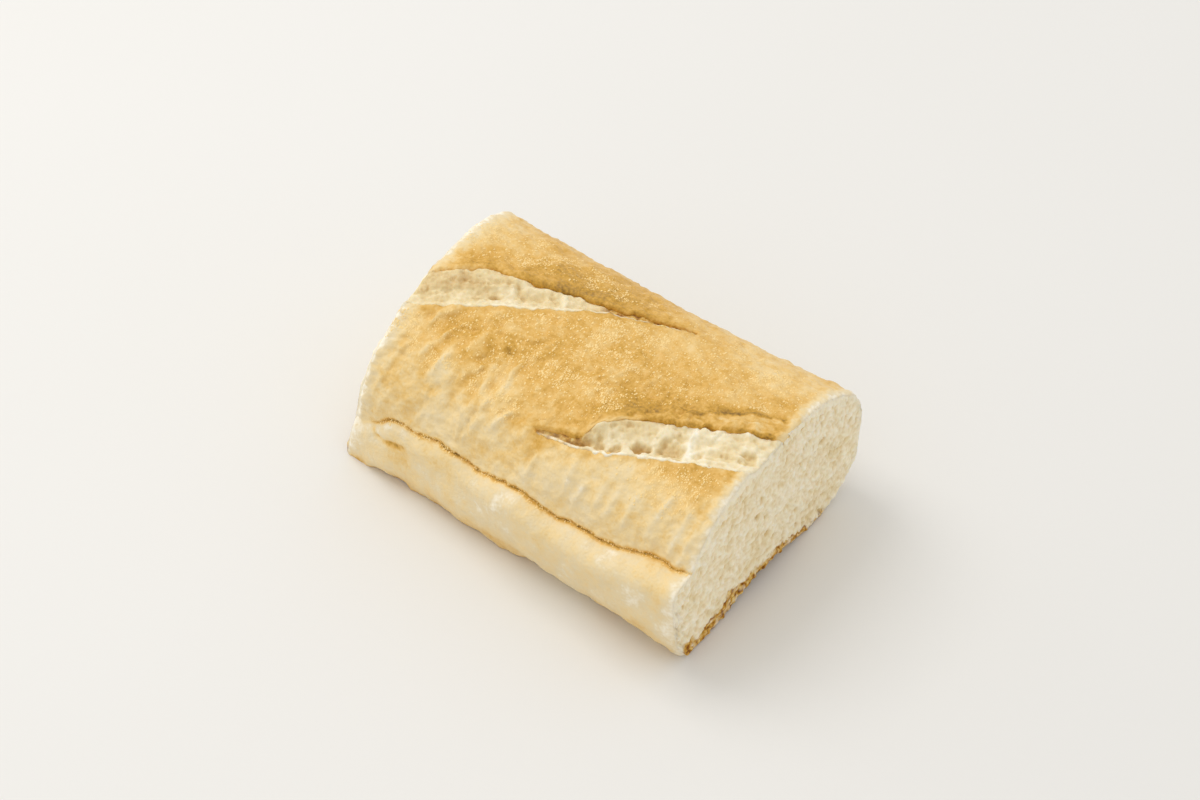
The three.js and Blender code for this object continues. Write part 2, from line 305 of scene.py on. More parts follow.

# %% [markdown]
# The baker cut two slanting scores, and each opened in the oven: the crust on one side lifted, and the
# soft crumb between tore into bubbles. A place on a score has two coordinates: the run from its closed
# tip, and the distance across it, which is positive towards the lifted lip. Both lips wander, so each is
# a line of (run, across) points. The other lines give, along the run, how deep the torn floor lies, how
# far back the lip's own piece reaches, how wide a strip of skin hangs loose, how sharply the floor steps
# down under the lip, and how brown the lip's edge looks: its own brown together with painted shade.

# %% Places on a score
SCORES = dict(
    front=dict(
        tip=(4.2, -28.0), heading=23, run=58, bow=0.4, starts=-4.0, roll=(0.9, 1.0),
        depth=[(-5, 1.1), (10, 1.1), (20, 1.9), (26, 2.3), (38, 1.85), (49, 1.4)],
        low=[
            (-5, 1.1), (-1.4, 0.7), (2, -0.3), (4.5, -1.3), (7, -2.5), (10, -3.8), (12.5, -4.8), (15, -5.4),
            (18, -5.7), (28, -5.9), (34, -5.9), (40, -6.1), (45, -6.7), (51, -7.1), (56, -7.0), (66, -7.2),
        ],
        lifted=[
            (-5, 1.4), (-0.4, 1.8), (4, 1.1), (7, -0.2), (9.3, -1.0), (11.5, -1.2), (13, 0.4), (15, 2.3),
            (18, 3.3), (22, 4.3), (26, 5.2), (33, 5.4), (43, 5.6), (48, 6.0), (51, 6.4), (55, 6.0),
            (61, 6.6), (66, 6.8),
        ],
        back=[(-5, 1.6), (8, 2.6), (12, 3.4), (20, 5.0), (33, 7.6), (46, 9.0), (57, 10.2), (66, 9.0)],
        strip=[
            (18, 0.0), (22, 1.6), (26, 3.0), (33, 4.6), (42, 5.0), (46, 6.2), (53, 7.0), (57, 7.6),
            (61, 5.6), (66, 5.0),
        ],
        step=[(10, 0.75), (13, 0.15), (20, 0.2), (28, 0.75)],
        # The edge's brown: the lip's own, with painted shade under the lip.
        brown=[
            (-5, 0.45), (0, 0.58), (9, 0.64), (12, 0.52), (14, 0.40), (24, 0.42), (27, 0.70), (31, 0.69),
            (34, 0.63), (38, 0.69), (44, 0.63), (47, 0.70), (50, 0.78), (53, 0.74), (57, 0.76), (60, 0.62),
            (66, 0.46),
        ],
    ),
    rear=dict(
        tip=(20.8, 25.5), heading=206, run=77, bow=-1.9, starts=3.0, roll=(1.7, 1.5),
        depth=[(3, 1.1), (24, 1.3), (35, 1.9), (50, 1.85), (65, 1.45)],
        low=[
            (3, -1.2), (6, -1.4), (12, -1.8), (18, -1.9), (24, -2.2), (30, -2.6), (36, -3.4), (44, -4.7),
            (54, -5.8), (62, -6.8), (72, -6.6), (80, -6.0), (86, -6.0),
        ],
        lifted=[
            (3, -1.0), (6, 0.3), (11, 0.3), (16, 0.8), (21, 0.8), (26, 0.5), (30, 1.3), (35, 1.9), (37, 3.0),
            (40, 3.0), (44, 3.8), (48, 4.8), (52, 5.4), (56, 5.6), (60, 7.4), (63, 6.8), (67, 6.1),
            (73, 4.9), (86, 4.7),
        ],
        back=[(3, 2.2), (12, 4.0), (40, 6.0), (86, 6.5)],
        strip=[(3, 0.0), (86, 0.0)],
        step=[(3, 0.75), (86, 0.75)],
        # The edge's brown: the lip's own, with painted shade under the lip.
        brown=[
            (3, 0.50), (6, 0.60), (15, 0.60), (28, 0.66), (36, 0.70), (39, 0.80), (44, 0.76), (48, 0.64),
            (56, 0.60), (60, 0.54), (66, 0.46), (86, 0.42),
        ],
    ),
)
LIP_RISE, LIP_FADE = 0.9, 5.0


def score_coordinates(score, x, y):
    """Run from the tip, and distance across towards the lifted lip, of a place in plan."""
    heading = np.radians(score["heading"])
    dx, dy = x - score["tip"][0], y - score["tip"][1]
    run = dx * np.cos(heading) + dy * np.sin(heading)
    left = dy * np.cos(heading) - dx * np.sin(heading)
    bow = score["bow"] * np.sin(np.pi * clamp01(run / score["run"]))
    return run, np.sign(np.cos(heading)) * (left - bow)


def score_plan(score, run, across):
    """The place in plan of a run and a distance across: the turn of score_coordinates undone."""
    heading = np.radians(score["heading"])
    bow = score["bow"] * np.sin(np.pi * clamp01(run / score["run"]))
    side = bow + np.sign(np.cos(heading)) * across
    x = score["tip"][0] + run * np.cos(heading) - side * np.sin(heading)
    y = score["tip"][1] + run * np.sin(heading) + side * np.cos(heading)
    return x, y


def score_lips(score, run):
    """Distance across of the low and the lifted lip, and the share by which the score has opened there."""
    low, lifted = follow(score["low"], run), follow(score["lifted"], run)
    return low, lifted, ramp(run - score["starts"], 0, 3) * ramp(lifted - low, 0, 4)


def lip_rise(x, y):
    """Height that the crust gains along the lifted lip of either score."""
    rise = 0.0
    for score in SCORES.values():
        run, across = score_coordinates(score, x, y)
        low, lifted, opened = score_lips(score, run)
        rise = rise + LIP_RISE * opened * ramp(lifted - low, 0, 8) * bump((across - lifted) / LIP_FADE)
    return rise


front_lips = score_lips(SCORES["front"], 30.0)
print("front lips 30 mm from the tip, mm:", [round(float(lip), 1) for lip in front_lips])

# %% [markdown]
# Real crust is never smooth. As the loaf swelled, the skin stretched round its girth into soft ridges,
# steam pushed up lumps, and the seam tore into grains. All of that is real relief here, a few tenths of a
# millimetre high. Bump in a material would be cheaper, but it would leave the outline smooth.

# %% Relief of the skin
GIRTH_RADIUS = 36.0
RIDGES = dict(height=0.9, push=2.2, slant=0.14, under_score=0.65)
LUMPS = [
    ((0.28, 0.6), (9.0, 8.0), 1),
    ((0.24, 0.38), 4.2, 2),
    ((0.30, 0.14), 2.1, 3),
    ((0.24, 0.08), 1.2, 4),
]
SEAM_GRAIN = 0.32
FOOT_WAVER = [(0.8, 8.5, 7), (0.35, 2.4, 8)]
FOOT_FLARE = 1.4
BASE_LUMPS = 0.22
PIT = dict(x=-16.8, degrees=117.3, radius=1.3, depth=0.3, mm_per_degree=0.45)


def unrolled(x, degrees):
    """Place on the skin laid flat, in mm: along the loaf and round its girth."""
    return sheet(x, np.radians(degrees) * GIRTH_RADIUS)


def stretch_ridges(x, degrees):
    """Soft folds with narrow crests, about -1 to 1, that slant round the near side's girth in patches."""
    flat = unrolled(x, degrees)
    pushed = np.stack([dough_noise(flat, 7.0, 13), dough_noise(flat, 7.0, 15), 0 * x], axis=-1)
    bent = flat + RIDGES["push"] * pushed
    bent[..., 0] += RIDGES["slant"] * flat[..., 1]
    crests = ramp(dough_noise(bent, (2.0, 6.5), 14), 0.1, 0.7)
    folds = 0.6 * dough_noise(bent, (3.6, 8.0), 11) + 0.8 * (crests - 0.3)
    patches = 0.35 + 0.8 * smooth(0.5 + 1.2 * dough_noise(flat, (19.0, 20.0), 12))
    near_side = ramp(degrees, 72, 102) * ramp(seam_angle(x) - degrees, 2, 10)
    under_score = ramp(x, 2, 10) * ramp(degrees, 134, 142)
    return folds * patches * near_side * (1 - RIDGES["under_score"] * under_score)


def pit_place(x, degrees):
    """How deep in the one brown pit of the top a place is, from 0 to 1."""
    round_girth = (degrees - PIT["degrees"]) * PIT["mm_per_degree"]
    return bump(np.hypot(x - PIT["x"], round_girth) / PIT["radius"])


def fine_relief(x, degrees):
    """Lumps, ridges, folds, grains of the seam and a wavering foot, in mm out from the plain skin."""
    flat, along = unrolled(x, degrees), sheet(x, 0.0)
    away = seam_distance(x, degrees)
    crust = ramp(degrees, -45, -15) * ramp(degrees, 222, 214)
    band = ramp(away, 1, 5)
    lumps = noise_layers(flat, [(mix(*heights, band), size, seed) for heights, size, seed in LUMPS])
    ridges = RIDGES["height"] * stretch_ridges(x, degrees) + fold_place(x, degrees)
    pit = PIT["depth"] * pit_place(x, degrees)
    grains = SEAM_GRAIN * seam_opened(x) * dough_noise(flat, (0.9, 0.7), 5) * bump((away - 0.2) / 0.9)
    foot = noise_layers(along, FOOT_WAVER) + FOOT_FLARE * ramp(x, 35, 57)
    foot = foot * bump((degrees - FOOT_ANGLE) / 6)
    under = ramp(degrees, 208, 216) * ramp(degrees, 330, 322)
    base = under * BASE_LUMPS * dough_noise(flat, 2.4, 6)
    return crust * (lumps + ridges - pit) + grains + foot + base


relief_sample = fine_relief(np.linspace(-40, 40, 5), np.full(5, 120.0))
print("relief along the near shoulder, mm:", np.round(relief_sample, 2))

# %% [markdown]
# The skin puts all of this together: the relief is added to the radius before a point is placed, so that
# it also shows on the outline, and points of the base are lifted into its hollow. Other pieces lie on the
# skin at a place seen from above, and its angle there is found by halving a range until it fits.

# %% Skin of the loaf
TOP_ANGLES = (15.0, 160.0)
HALVINGS = 24


def loaf_skin(x, degrees, fine=True):
    """Points of the skin: section, burst side, unevenness, lips and fine relief, over an arched base."""
    angle = np.radians(degrees)
    plain = plain_radius(x, angle)
    radius = plain + side_relief(x, degrees) + unevenness(x, degrees)
    over = ramp(degrees, 0, 5) * ramp(degrees, 180, 175)
    radius = radius + over * lip_rise(x, plain * np.cos(angle))
    if fine:
        radius = radius + fine_relief(x, degrees)
    y = radius * np.cos(angle)
    z = CORE_HEIGHT + radius * np.sin(angle)
    z = np.where(angle > np.pi, np.maximum(z, 0) + base_arch(y), z)
    return np.stack(np.broadcast_arrays(x, y, np.maximum(z, 0)), axis=-1)


def top_angle(x, y):
    """Angle of the skin over a place in plan, found by halving the range of angles."""
    low, high = (np.full(np.shape(x), end) for end in TOP_ANGLES)
    for _ in range(HALVINGS):
        middle = (low + high) / 2
        beyond = loaf_skin(x, middle, fine=False)[..., 1] > y
        low, high = np.where(beyond, middle, low), np.where(beyond, high, middle)
    return low


print("skin over the middle, mm:", np.round(loaf_skin(np.array(0.0), np.array(90.0)), 1))

# %% [markdown]
# The crust is one closed skin with rings from cut to cut. Its columns are close together where they
# follow the seam and wide apart on the base. A ring near the slanted cut leans with that cut, so x
# depends on the height that the ring itself reaches, and a few passes settle it. Rings crowd at the cuts,
# where the edge is rounded. The square cut and the far side are where the frame's box ends, which gives
# the shift from these formulas into the frame.

# %% Grid of the crust
STATIONS = 206
EDGE_SHARES = [0.0, 0.0015, 0.0035, 0.006]
FIRST_SHARE = 0.0095
COLUMN_KNOTS = [(-39, 0), (30, 0), (-4.5, 1), (8, 1), (214, 0), (222, 0), (315, 0), (321, 0)]
COLUMN_COUNTS = [58, 222, 44, 56, 8, 44, 6]
GRID_PASSES = 5


def slanted_plane(y, z):
    """x of the slanted cut over a place of the section."""
    return SLANTED_CUT + SLANT_PER_HEIGHT * z + SLANT_PER_WIDTH * y


def crust_grid():
    """x and angle of every vertex: a column keeps its share between knots, some of which follow the seam."""
    ends = np.concatenate([[0], np.cumsum(COLUMN_COUNTS)])
    column = np.arange(ends[-1])
    fixed, on_seam = (np.interp(column, ends, part) for part in zip(*COLUMN_KNOTS))
    edge = np.array(EDGE_SHARES)
    inner = np.linspace(FIRST_SHARE, 1 - FIRST_SHARE, STATIONS)
    share = np.concatenate([edge, inner, 1 - edge[::-1]])[:, None]
    x = mix(slanted_plane(0, CORE_HEIGHT), HALF_LENGTH, share) + 0.0 * column
    for _ in range(GRID_PASSES):
        degrees = fixed + on_seam * seam_angle(x)
        skin = loaf_skin(x, degrees, fine=False)
        x = mix(slanted_plane(skin[..., 1], skin[..., 2]), HALF_LENGTH, share)
    return x, degrees


crust_x, crust_degrees = crust_grid()
plain_skin = loaf_skin(crust_x, crust_degrees, fine=False)
TO_FRAME = np.array([cad_high[0] / MM - HALF_LENGTH, cad_high[1] / MM - plain_skin[..., 1].max(), 0.0])
print("grid:", crust_x.shape, "shift into the frame, mm:", np.round(TO_FRAME, 2))

# %% [markdown]
# The scores need room, so the crust sinks inside them, a little deeper than the torn crumb that will lie
# there, and a little behind the lifted lip, where a finer strip of crust will cover it. The depth of the
# crumb below the skin is one formula, which the crust, the crumb and the cut faces share. At the cuts the
# crust's edge is rounded.

# %% Depth of the open scores
LOW_LIP_DEPTH = 0.25
CRUST_UNDER_CRUMB = 2.6
CRUST_UNDER_LIP = 0.9
CRUST_REACH = 1.5
EDGE_ROUND = 2.0


def crumb_depth(score, run, across):
    """Depth of a score's floor below the skin: a bowl along a drawn line, shallow at the low lip."""
    low, lifted, _ = score_lips(score, run)
    share = clamp01((across - low) / np.maximum(lifted - low, 0.05))
    low_side = mix(LOW_LIP_DEPTH, 1.0, ramp(share, 0, 0.45))
    lip_side = mix(follow(score["step"], run), 1.0, ramp(share, 1, 0.5))
    return follow(score["depth"], run) * low_side * lip_side


def scored(points, under_crumb, under_lip, reach):
    """Skin sunk inside the scores, below the crumb's floor, and that far in behind the lifted lips."""
    sunk = points.copy()
    for score in SCORES.values():
        run, across = score_coordinates(score, points[..., 0], points[..., 1])
        low, lifted, _ = score_lips(score, run)
        behind = across - lifted
        top = (points[..., 2] > CORE_HEIGHT) * ramp(run - score["starts"], 1, 4)
        inside = ramp(across - low, 0.1, 0.9) * ramp(behind, reach, reach - 0.7)
        inside = inside * ramp(lifted - low, 0.6, 1.6)
        back = ramp(behind, -0.4, 0.3) * ramp(follow(score["back"], run) - behind, 1.2, 2.2)
        sink = np.maximum(inside * (crumb_depth(score, run, across) + under_crumb), back * under_lip)
        sunk[..., 2] -= top * sink
    return sunk


def cut_distance(points):
    """Distance along the loaf to the nearer cut."""
    from_slanted = points[..., 0] - slanted_plane(points[..., 1], points[..., 2])
    return np.maximum(np.minimum(HALF_LENGTH - points[..., 0], from_slanted), 0)


def rounded(points, from_cut):
    """Points drawn in towards the core by a quarter ellipse over the last two millimetres before a cut."""
    near = clamp01(1 - from_cut / EDGE_ROUND)
    inset = 0.5 * EDGE_ROUND * (1 - np.sqrt(1 - near**2))
    spoke = (points - np.array([0.0, 0.0, CORE_HEIGHT])) * np.array([0.0, 1.0, 1.0])
    return points - inset[..., None] * spoke / np.linalg.norm(spoke, axis=-1, keepdims=True)


skin_points = loaf_skin(crust_x, crust_degrees)
sunk_points = scored(skin_points, CRUST_UNDER_CRUMB, CRUST_UNDER_LIP, CRUST_REACH)
crust_points = rounded(sunk_points, cut_distance(skin_points))
print("deepest place of a score, mm:", round(float((skin_points - sunk_points)[..., 2].max()), 1))

# %% [markdown]
# At each cut the crust shows its own thickness: a thin rim, and inside it a shallow recess that the crumb
# fills. The rim is the ring moved inwards along its own normals.

# %% Rims at the two cuts
RIM_WIDTH = 1.0
RIM_DEPTH = 0.12
RECESS = 2.6
NORMAL_SPAN = 3
OFF_FLOOR = 0.1
OUTWARDS = dict(square=1, slanted=-1)


def inset_ring(ring, distance):
    """A ring of (y, z) moved inwards along the normal of the line through its neighbours, off the floor."""
    tangent = np.roll(ring, -NORMAL_SPAN, axis=0) - np.roll(ring, NORMAL_SPAN, axis=0)
    tangent = tangent / np.linalg.norm(tangent, axis=1, keepdims=True)
    moved = ring + distance * np.stack([-tangent[:, 1], tangent[:, 0]], axis=1)
    return np.column_stack([moved[:, 0], np.maximum(moved[:, 1], OFF_FLOOR)])


def on_cut(end, y, z, out):
    """Places of the section put on a cut's plane, and moved that far out of the loaf."""
    plane = HALF_LENGTH + 0 * y if end == "square" else slanted_plane(y, z)
    return np.stack([plane + OUTWARDS[end] * out, y, z], axis=-1)


def rim_rows(end, ring):
    """The rows that close the crust at a cut: the rim's inner edge, then the bottom of the recess."""
    y, z = inset_ring(ring[:, 1:], RIM_WIDTH).T
    return on_cut(end, y, z, -RIM_DEPTH), on_cut(end, y, z, -RECESS)


slanted_rim, slanted_recess = rim_rows("slanted", crust_points[0])
square_rim, square_recess = rim_rows("square", crust_points[-1])
crust_rows = np.concatenate([[slanted_recess, slanted_rim], crust_points, [square_rim, square_recess]])
print("rows of the crust:", len(crust_rows))

# %% [markdown]
# Two small builders turn grids into closed meshes. A tube is a stack of rings with a fan at each end. A
# slab is a front sheet and a back sheet joined round their edge. Both are turned inside out if their
# volume comes out negative, so that faces always point outwards.

# %% Builders of closed meshes


def outward(points, faces):
    """The faces, turned round if the volume they enclose is negative."""
    volume = 0.0
    for face in faces:
        first = points[face[:, 0]]
        for side in range(1, face.shape[1] - 1):
            normal = np.cross(points[face[:, side]], points[face[:, side + 1]])
            volume += np.einsum("ij,ij->", first, normal)
    return faces if volume > 0 else [face[:, ::-1] for face in faces]


def ring_faces(rows, columns):
    """Quads between neighbouring rows, each closed on itself, and fans round the two points that follow."""
    i, j = np.meshgrid(np.arange(rows - 1), np.arange(columns), indexing="ij")
    beside = (j + 1) % columns
    corners = [i * columns + j, i * columns + beside, (i + 1) * columns + beside, (i + 1) * columns + j]
    quads = np.stack(corners, axis=-1).reshape(-1, 4)
    here, following = np.arange(columns), (np.arange(columns) + 1) % columns
    first_fan = np.stack([np.full(columns, rows * columns), following, here], axis=1)
    last = (rows - 1) * columns
    last_fan = np.stack([np.full(columns, rows * columns + 1), last + here, last + following], axis=1)
    return [quads, np.concatenate([first_fan, last_fan])]


def slab_faces(rows, columns):
    """Quads of a front sheet, of the back sheet that follows it, turned round, and of the wall between."""
    i, j = np.meshgrid(np.arange(rows - 1), np.arange(columns - 1), indexing="ij")
    corner = i * columns + j
    front = np.stack([corner, corner + 1, corner + columns + 1, corner + columns], axis=-1).reshape(-1, 4)
    number = np.arange(rows * columns).reshape(rows, columns)
    edge = np.concatenate([number[0, :-1], number[:-1, -1], number[-1, :0:-1], number[:0:-1, 0]])
    following = np.roll(edge, -1)
    behind = rows * columns
    wall = np.stack([following, edge, edge + behind, following + behind], axis=1)
    return [np.concatenate([front, front[:, ::-1] + behind, wall])]


def make_piece(name, points, faces, material, fields):
    """One object at the origin, in metres, from points in mm of the formulas, faces and values per point."""
    placed = ((points + TO_FRAME) * MM).astype(np.float32)
    faces = outward(placed.astype(float), faces)
    mesh = bpy.data.meshes.new(name)
    mesh.vertices.add(len(placed))
    mesh.vertices.foreach_set("co", placed.ravel())
    corners = np.concatenate([face.ravel() for face in faces])
    sizes = np.concatenate([np.full(len(face), face.shape[1]) for face in faces])
    mesh.loops.add(len(corners))
    mesh.loops.foreach_set("vertex_index", corners.astype(np.int32))
    mesh.polygons.add(len(sizes))
    mesh.polygons.foreach_set("loop_start", (np.cumsum(sizes) - sizes).astype(np.int32))
    mesh.update(calc_edges=True)
    mesh.validate()
    mesh.shade_smooth()
    for field, values in fields.items():
        attribute = mesh.attributes.new(field, "FLOAT", "POINT")
        attribute.data.foreach_set("value", np.asarray(values, np.float32).ravel())
    mesh.materials.append(material)
    piece = bpy.data.objects.new(name, mesh)
    bpy.context.scene.collection.objects.link(piece)
    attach(piece, "root")
    print(name, "has", int((sizes - 2).sum()), "triangles")
    return piece


def make_tube(name, rows, material, values, end_value):
    """A closed tube of rows with their browning, and a fan round the middle of its first and last row."""
    points = np.concatenate([rows.reshape(-1, 3), rows[[0, -1]].mean(axis=1)])
    browning_and_painted_light = np.append(values.ravel(), [end_value, end_value])
    return make_piece(name, points, ring_faces(*rows.shape[:2]), material, dict(browning_and_painted_light=browning_and_painted_light))


def make_slab(name, front, back, material, **fields):
    """A closed slab of a front and a back sheet; the named values of the front are repeated on the back."""
    points = np.concatenate([front.reshape(-1, 3), back.reshape(-1, 3)])
    doubled = {field: np.tile(values.ravel(), 2) for field, values in fields.items()}
    return make_piece(name, points, slab_faces(*front.shape[:2]), material, doubled)


print("faces of a slab of 3 by 4 points:", len(slab_faces(3, 4)[0]))

# %% [markdown]
# A material's colours are given as the hex values that a picture editor shows. Shaders work in linear
# light, so one function converts them. Another adds a shader node with its values, its links and, for a
# colour ramp, its stops.

# %% Colours and nodes


def linear(hex_colour):
    """Linear red, green, blue and alpha of an sRGB hex colour."""
    srgb = np.array([int(hex_colour[i : i + 2], 16) for i in (1, 3, 5)]) / 255
    low, high = srgb / 12.92, ((srgb + 0.055) / 1.055) ** 2.4
    return (*np.where(srgb <= 0.04045, low, high).tolist(), 1.0)


def add_node(tree, kind, values=None, links=None, stops=None, **settings):
    """One shader node: settings are its properties, values and links go to inputs, stops to its ramp.

    A link comes from an output, or from a node, which stands for its first output.
    """
    node = tree.nodes.new("ShaderNode" + kind)
    for setting, value in settings.items():
        setattr(node, setting, value)
    for socket, value in (values or {}).items():
        node.inputs[socket].default_value = value
    for socket, source in (links or {}).items():
        output = source.outputs[0] if isinstance(source, bpy.types.Node) else source
        tree.links.new(output, node.inputs[socket])
    if stops:
        elements = node.color_ramp.elements
        while len(elements) < len(stops):
            elements.new(1.0)
        for element, (position, colour) in zip(elements, stops):
            element.position = position
            element.color = linear(colour)
    return node


def new_material(name):
    """An empty node material and its tree."""
    material = bpy.data.materials.new(name)
    material.use_nodes = True
    material.node_tree.nodes.clear()
    return material, material.node_tree


def noise_scale(size_mm):
    """Scale of a noise texture on Object coordinates, in metres, for blobs about that many mm apart."""
    return 1.0 / (size_mm * MM)


print("gold in linear light:", [round(part, 3) for part in linear("#e6bd74")])

# %% [markdown]
# Baked crust is a dried skin of starch and sugars that browns with heat. What the eye reads first is how
# brown each place is, so the mesh carries one value for it, with some painted light and shade added in, and
# a ramp turns it into colour. Finer mottling and the grain of the skin are noise in the material, and the
# grain shows more where the skin is brown. The skin is slightly glossy where the oven's steam set its
# starch.

# %% Material of the baked crust
CRUST_STOPS = [
    # The palest stop is whiter than cut crust: a painted glow for the edges by the cuts.
    (0.00, "#fff8e6"),
    # This stop is a little greyer: a painted shade on the pale shelf under the seam.
    (0.16, "#ecd9b0"),
    (0.30, "#f0d59d"),
    (0.42, "#eac47b"),
    (0.53, "#dfb058"),
    (0.64, "#cc9c3b"),
    (0.80, "#a27a2c"),
    (1.00, "#6a4a1c"),
]
BLOTCH_MM, BLOTCH_SHARE = 3.0, 0.34
GRAIN_MM, GRAIN_BUMP_MM = 0.8, 0.6
GRAIN_BY_BROWNING = {"From Min": 0.45, "From Max": 0.80, "To Min": 0.18, "To Max": 0.60}
CRUST_GLOSS = {"To Min": 0.58, "To Max": 0.34}


def baked_crust():
    """Browning plus blotches and grain through the ramp, more grain where brown, and the grain as bump."""
    material, tree = new_material("baked_crust")
    place = add_node(tree, "TexCoord").outputs["Object"]
    browning_and_painted_light = add_node(tree, "Attribute", attribute_name="browning_and_painted_light").outputs["Fac"]
    blotch = add_node(tree, "TexNoise", {"Scale": noise_scale(BLOTCH_MM), "Detail": 3.0}, {"Vector": place})
    grain = add_node(tree, "TexNoise", {"Scale": noise_scale(GRAIN_MM), "Detail": 2.0}, {"Vector": place})
    level = {1: BLOTCH_SHARE, 2: -BLOTCH_SHARE / 2}
    soft = add_node(tree, "Math", level, {0: blotch}, operation="MULTIPLY_ADD")
    fine = add_node(tree, "Math", {1: 0.5}, {0: grain}, operation="SUBTRACT")
    spread = add_node(tree, "MapRange", GRAIN_BY_BROWNING, {"Value": browning_and_painted_light})
    grains = add_node(tree, "Math", {}, {0: fine, 1: spread}, operation="MULTIPLY")
    mottled = add_node(tree, "Math", {}, {0: browning_and_painted_light, 1: soft}, operation="ADD")
    total = add_node(tree, "Math", {}, {0: mottled, 1: grains}, operation="ADD")
    colour = add_node(tree, "ValToRGB", {}, {"Fac": total}, stops=CRUST_STOPS)
    gloss = add_node(tree, "MapRange", CRUST_GLOSS, {"Value": grain})
    relief = add_node(tree, "Bump", {"Strength": 0.5, "Distance": GRAIN_BUMP_MM * MM}, {"Height": grain})
    skin = {"IOR": 1.45, "Specular IOR Level": 0.45}
    links = {"Base Color": colour, "Roughness": gloss, "Normal": relief}
    shader = add_node(tree, "BsdfPrincipled", skin, links)
    add_node(tree, "OutputMaterial", {}, {"Surface": shader})
    return material


CRUST = baked_crust()
print("material:", CRUST.name)

# %% [markdown]
# Browning follows the heat: the top took most of it, the sides less, the swollen band under the seam
# opened late and stayed pale, and the base lay on the hot floor of the oven. The seam and the lips of the
# scores dried out and browned, and the creases are darker. Painted light and shade are added too: paler
# crests of ridges and folds as a painted highlight, a paler far side as painted light, painted shade low
# on the near side and round the front score, and a pale edge by a cut, partly the cut crust itself and
# partly a painted glow where light passes through its edge.

# %% Browning of the crust
BROWNING = dict(side=0.28, top=0.24, least=0.2, most=0.58, band=0.22, seam=0.70, base=0.68, rim=0.09)


def front_browning(points):
    """Round the front score: gold and painted shade behind its lifted lip, cream and gold below its low one.
    """
    score = SCORES["front"]
    run, across = score_coordinates(score, points[..., 0], points[..., 1])
    low, lifted, opened = score_lips(score, run)
    behind, above = across - lifted, across - low
    opened = opened * ramp(run, score["run"] + 10, score["run"] + 6)
    # Behind the lifted lip: partly the lip's own brown, partly painted shade where the crust curves down.
    deep = ramp(behind, 0.5, 3) * ramp(behind, 11, 5) * ramp(run, -2, 4)
    deep = deep * mix(0.12, 0.24, ramp(run, 32, 46))
    # A painted shade in the broad dip left of the score's tip.
    dip = 0.08 * bump((run + 2) / 7) * bump((across + 1) / 4)
    below = ramp(above, -0.3, -1.8) * ramp(above, -10, -3)
    gold = ramp(run, 26, 38) * smooth(0.6 + 1.2 * dough_noise(points, (7, 5, 5), 22))
    cream = ramp(run, 6, 12) * ramp(run, 36, 28)
    return opened * deep + dip + below * (0.06 * gold - 0.10 * cream)


def rear_browning(points):
    """Behind the rear score's lifted lip: gold that deepens towards the slanted cut."""
    score = SCORES["rear"]
    run, across = score_coordinates(score, points[..., 0], points[..., 1])
    behind = across - follow(score["lifted"], run)
    return 0.13 * ramp(points[..., 0], 15, -15) * ramp(behind, -1, 0) * ramp(behind, 16, 6)


def heat_browning(x, degrees, points):
    """Heat browns the top most; crests get a painted highlight, the sides painted light and shade."""
    flat = unrolled(x, degrees)
    left, right = ramp(x, -15, -50), ramp(x, -10, 30)
    top = ramp(degrees, -10, 35) * ramp(degrees - 10 * left, 166, 116)
    # Paler on the far side towards both ends: painted light.
    far_side = 0.10 * right * ramp(degrees, 80, 50) + 0.09 * ramp(x, -40, -52) * ramp(degrees, 85, 55)
    # Low on the near side: a painted shade towards the slanted cut, and a little paler near the middle.
    low_side = ramp(degrees, 138, 154) * (0.05 * left - 0.04 * bump((x - 8) / 22))
    patches = noise_layers(flat, [(0.06, (13, 10), 24), (0.05, (5, 6), 25)])
    # Paler crests of ridges and folds: a painted highlight where they catch the light.
    crests = 0.10 * stretch_ridges(x, degrees) + 0.22 * fold_place(x, degrees)
    value = BROWNING["side"] + (BROWNING["top"] - 0.06 * left) * top - far_side + low_side + patches - crests
    value = np.clip(value, BROWNING["least"], BROWNING["most"])
    return value + front_browning(points) + rear_browning(points)


def band_browning(flat, away):
    """The band under the seam: pale, in soft patches, a little browner towards its foot."""
    value = BROWNING["band"] + 0.02 * ramp(away, 2.5, 9.5) + 0.09 * ramp(away, 15, 23)
    return np.maximum(value + noise_layers(flat, [(0.12, (9, 7), 26), (0.06, (3.5, 10), 28)]), 0.13)


def crust_browning(x, degrees, points):
    """How brown the crust is, 0 cream to 1 dark brown: heat, then band, seam, creases, base and rims."""
    flat = unrolled(x, degrees)
    away = seam_distance(x, degrees)
    grains = dough_noise(flat, (1.1, 0.9), 23)
    value = mix(heat_browning(x, degrees, points), band_browning(flat, away), ramp(away, 0.2, 1.2))
    value = mix(value, BROWNING["seam"] + 0.18 * grains, seam_opened(x) * bump((away - 0.1) / 0.85))
    value = value + 0.85 * crease_place(x, degrees) * (1 + 0.6 * grains) + 0.15 * pit_place(x, degrees)
    base = np.maximum(ramp(degrees, 208, 213) * ramp(degrees, 330, 320), ramp(degrees, -30, -38))
    value = mix(value, BROWNING["base"] + 0.10 * dough_noise(flat, 4.0, 27) + 0.10 * grains, base)
    # Pale next to a cut: partly the cut crust, partly a painted glow where light passes through its edge.
    from_cut = cut_distance(points) + 0.8 * grains
    square_end = ramp(x, -20, 20)
    reach = mix(6.5, 4.2, square_end)
    rim = mix(0.55, 0.65, square_end) * ramp(from_cut, reach, 1) + 0.35 * ramp(from_cut, 1.6, 0.4)
    return mix(value, BROWNING["rim"] * square_end, rim * (1 - base))


browning_and_painted_light = crust_browning(crust_x, crust_degrees, skin_points)
print("browning from", round(float(browning_and_painted_light.min()), 2), "to", round(float(browning_and_painted_light.max()), 2))

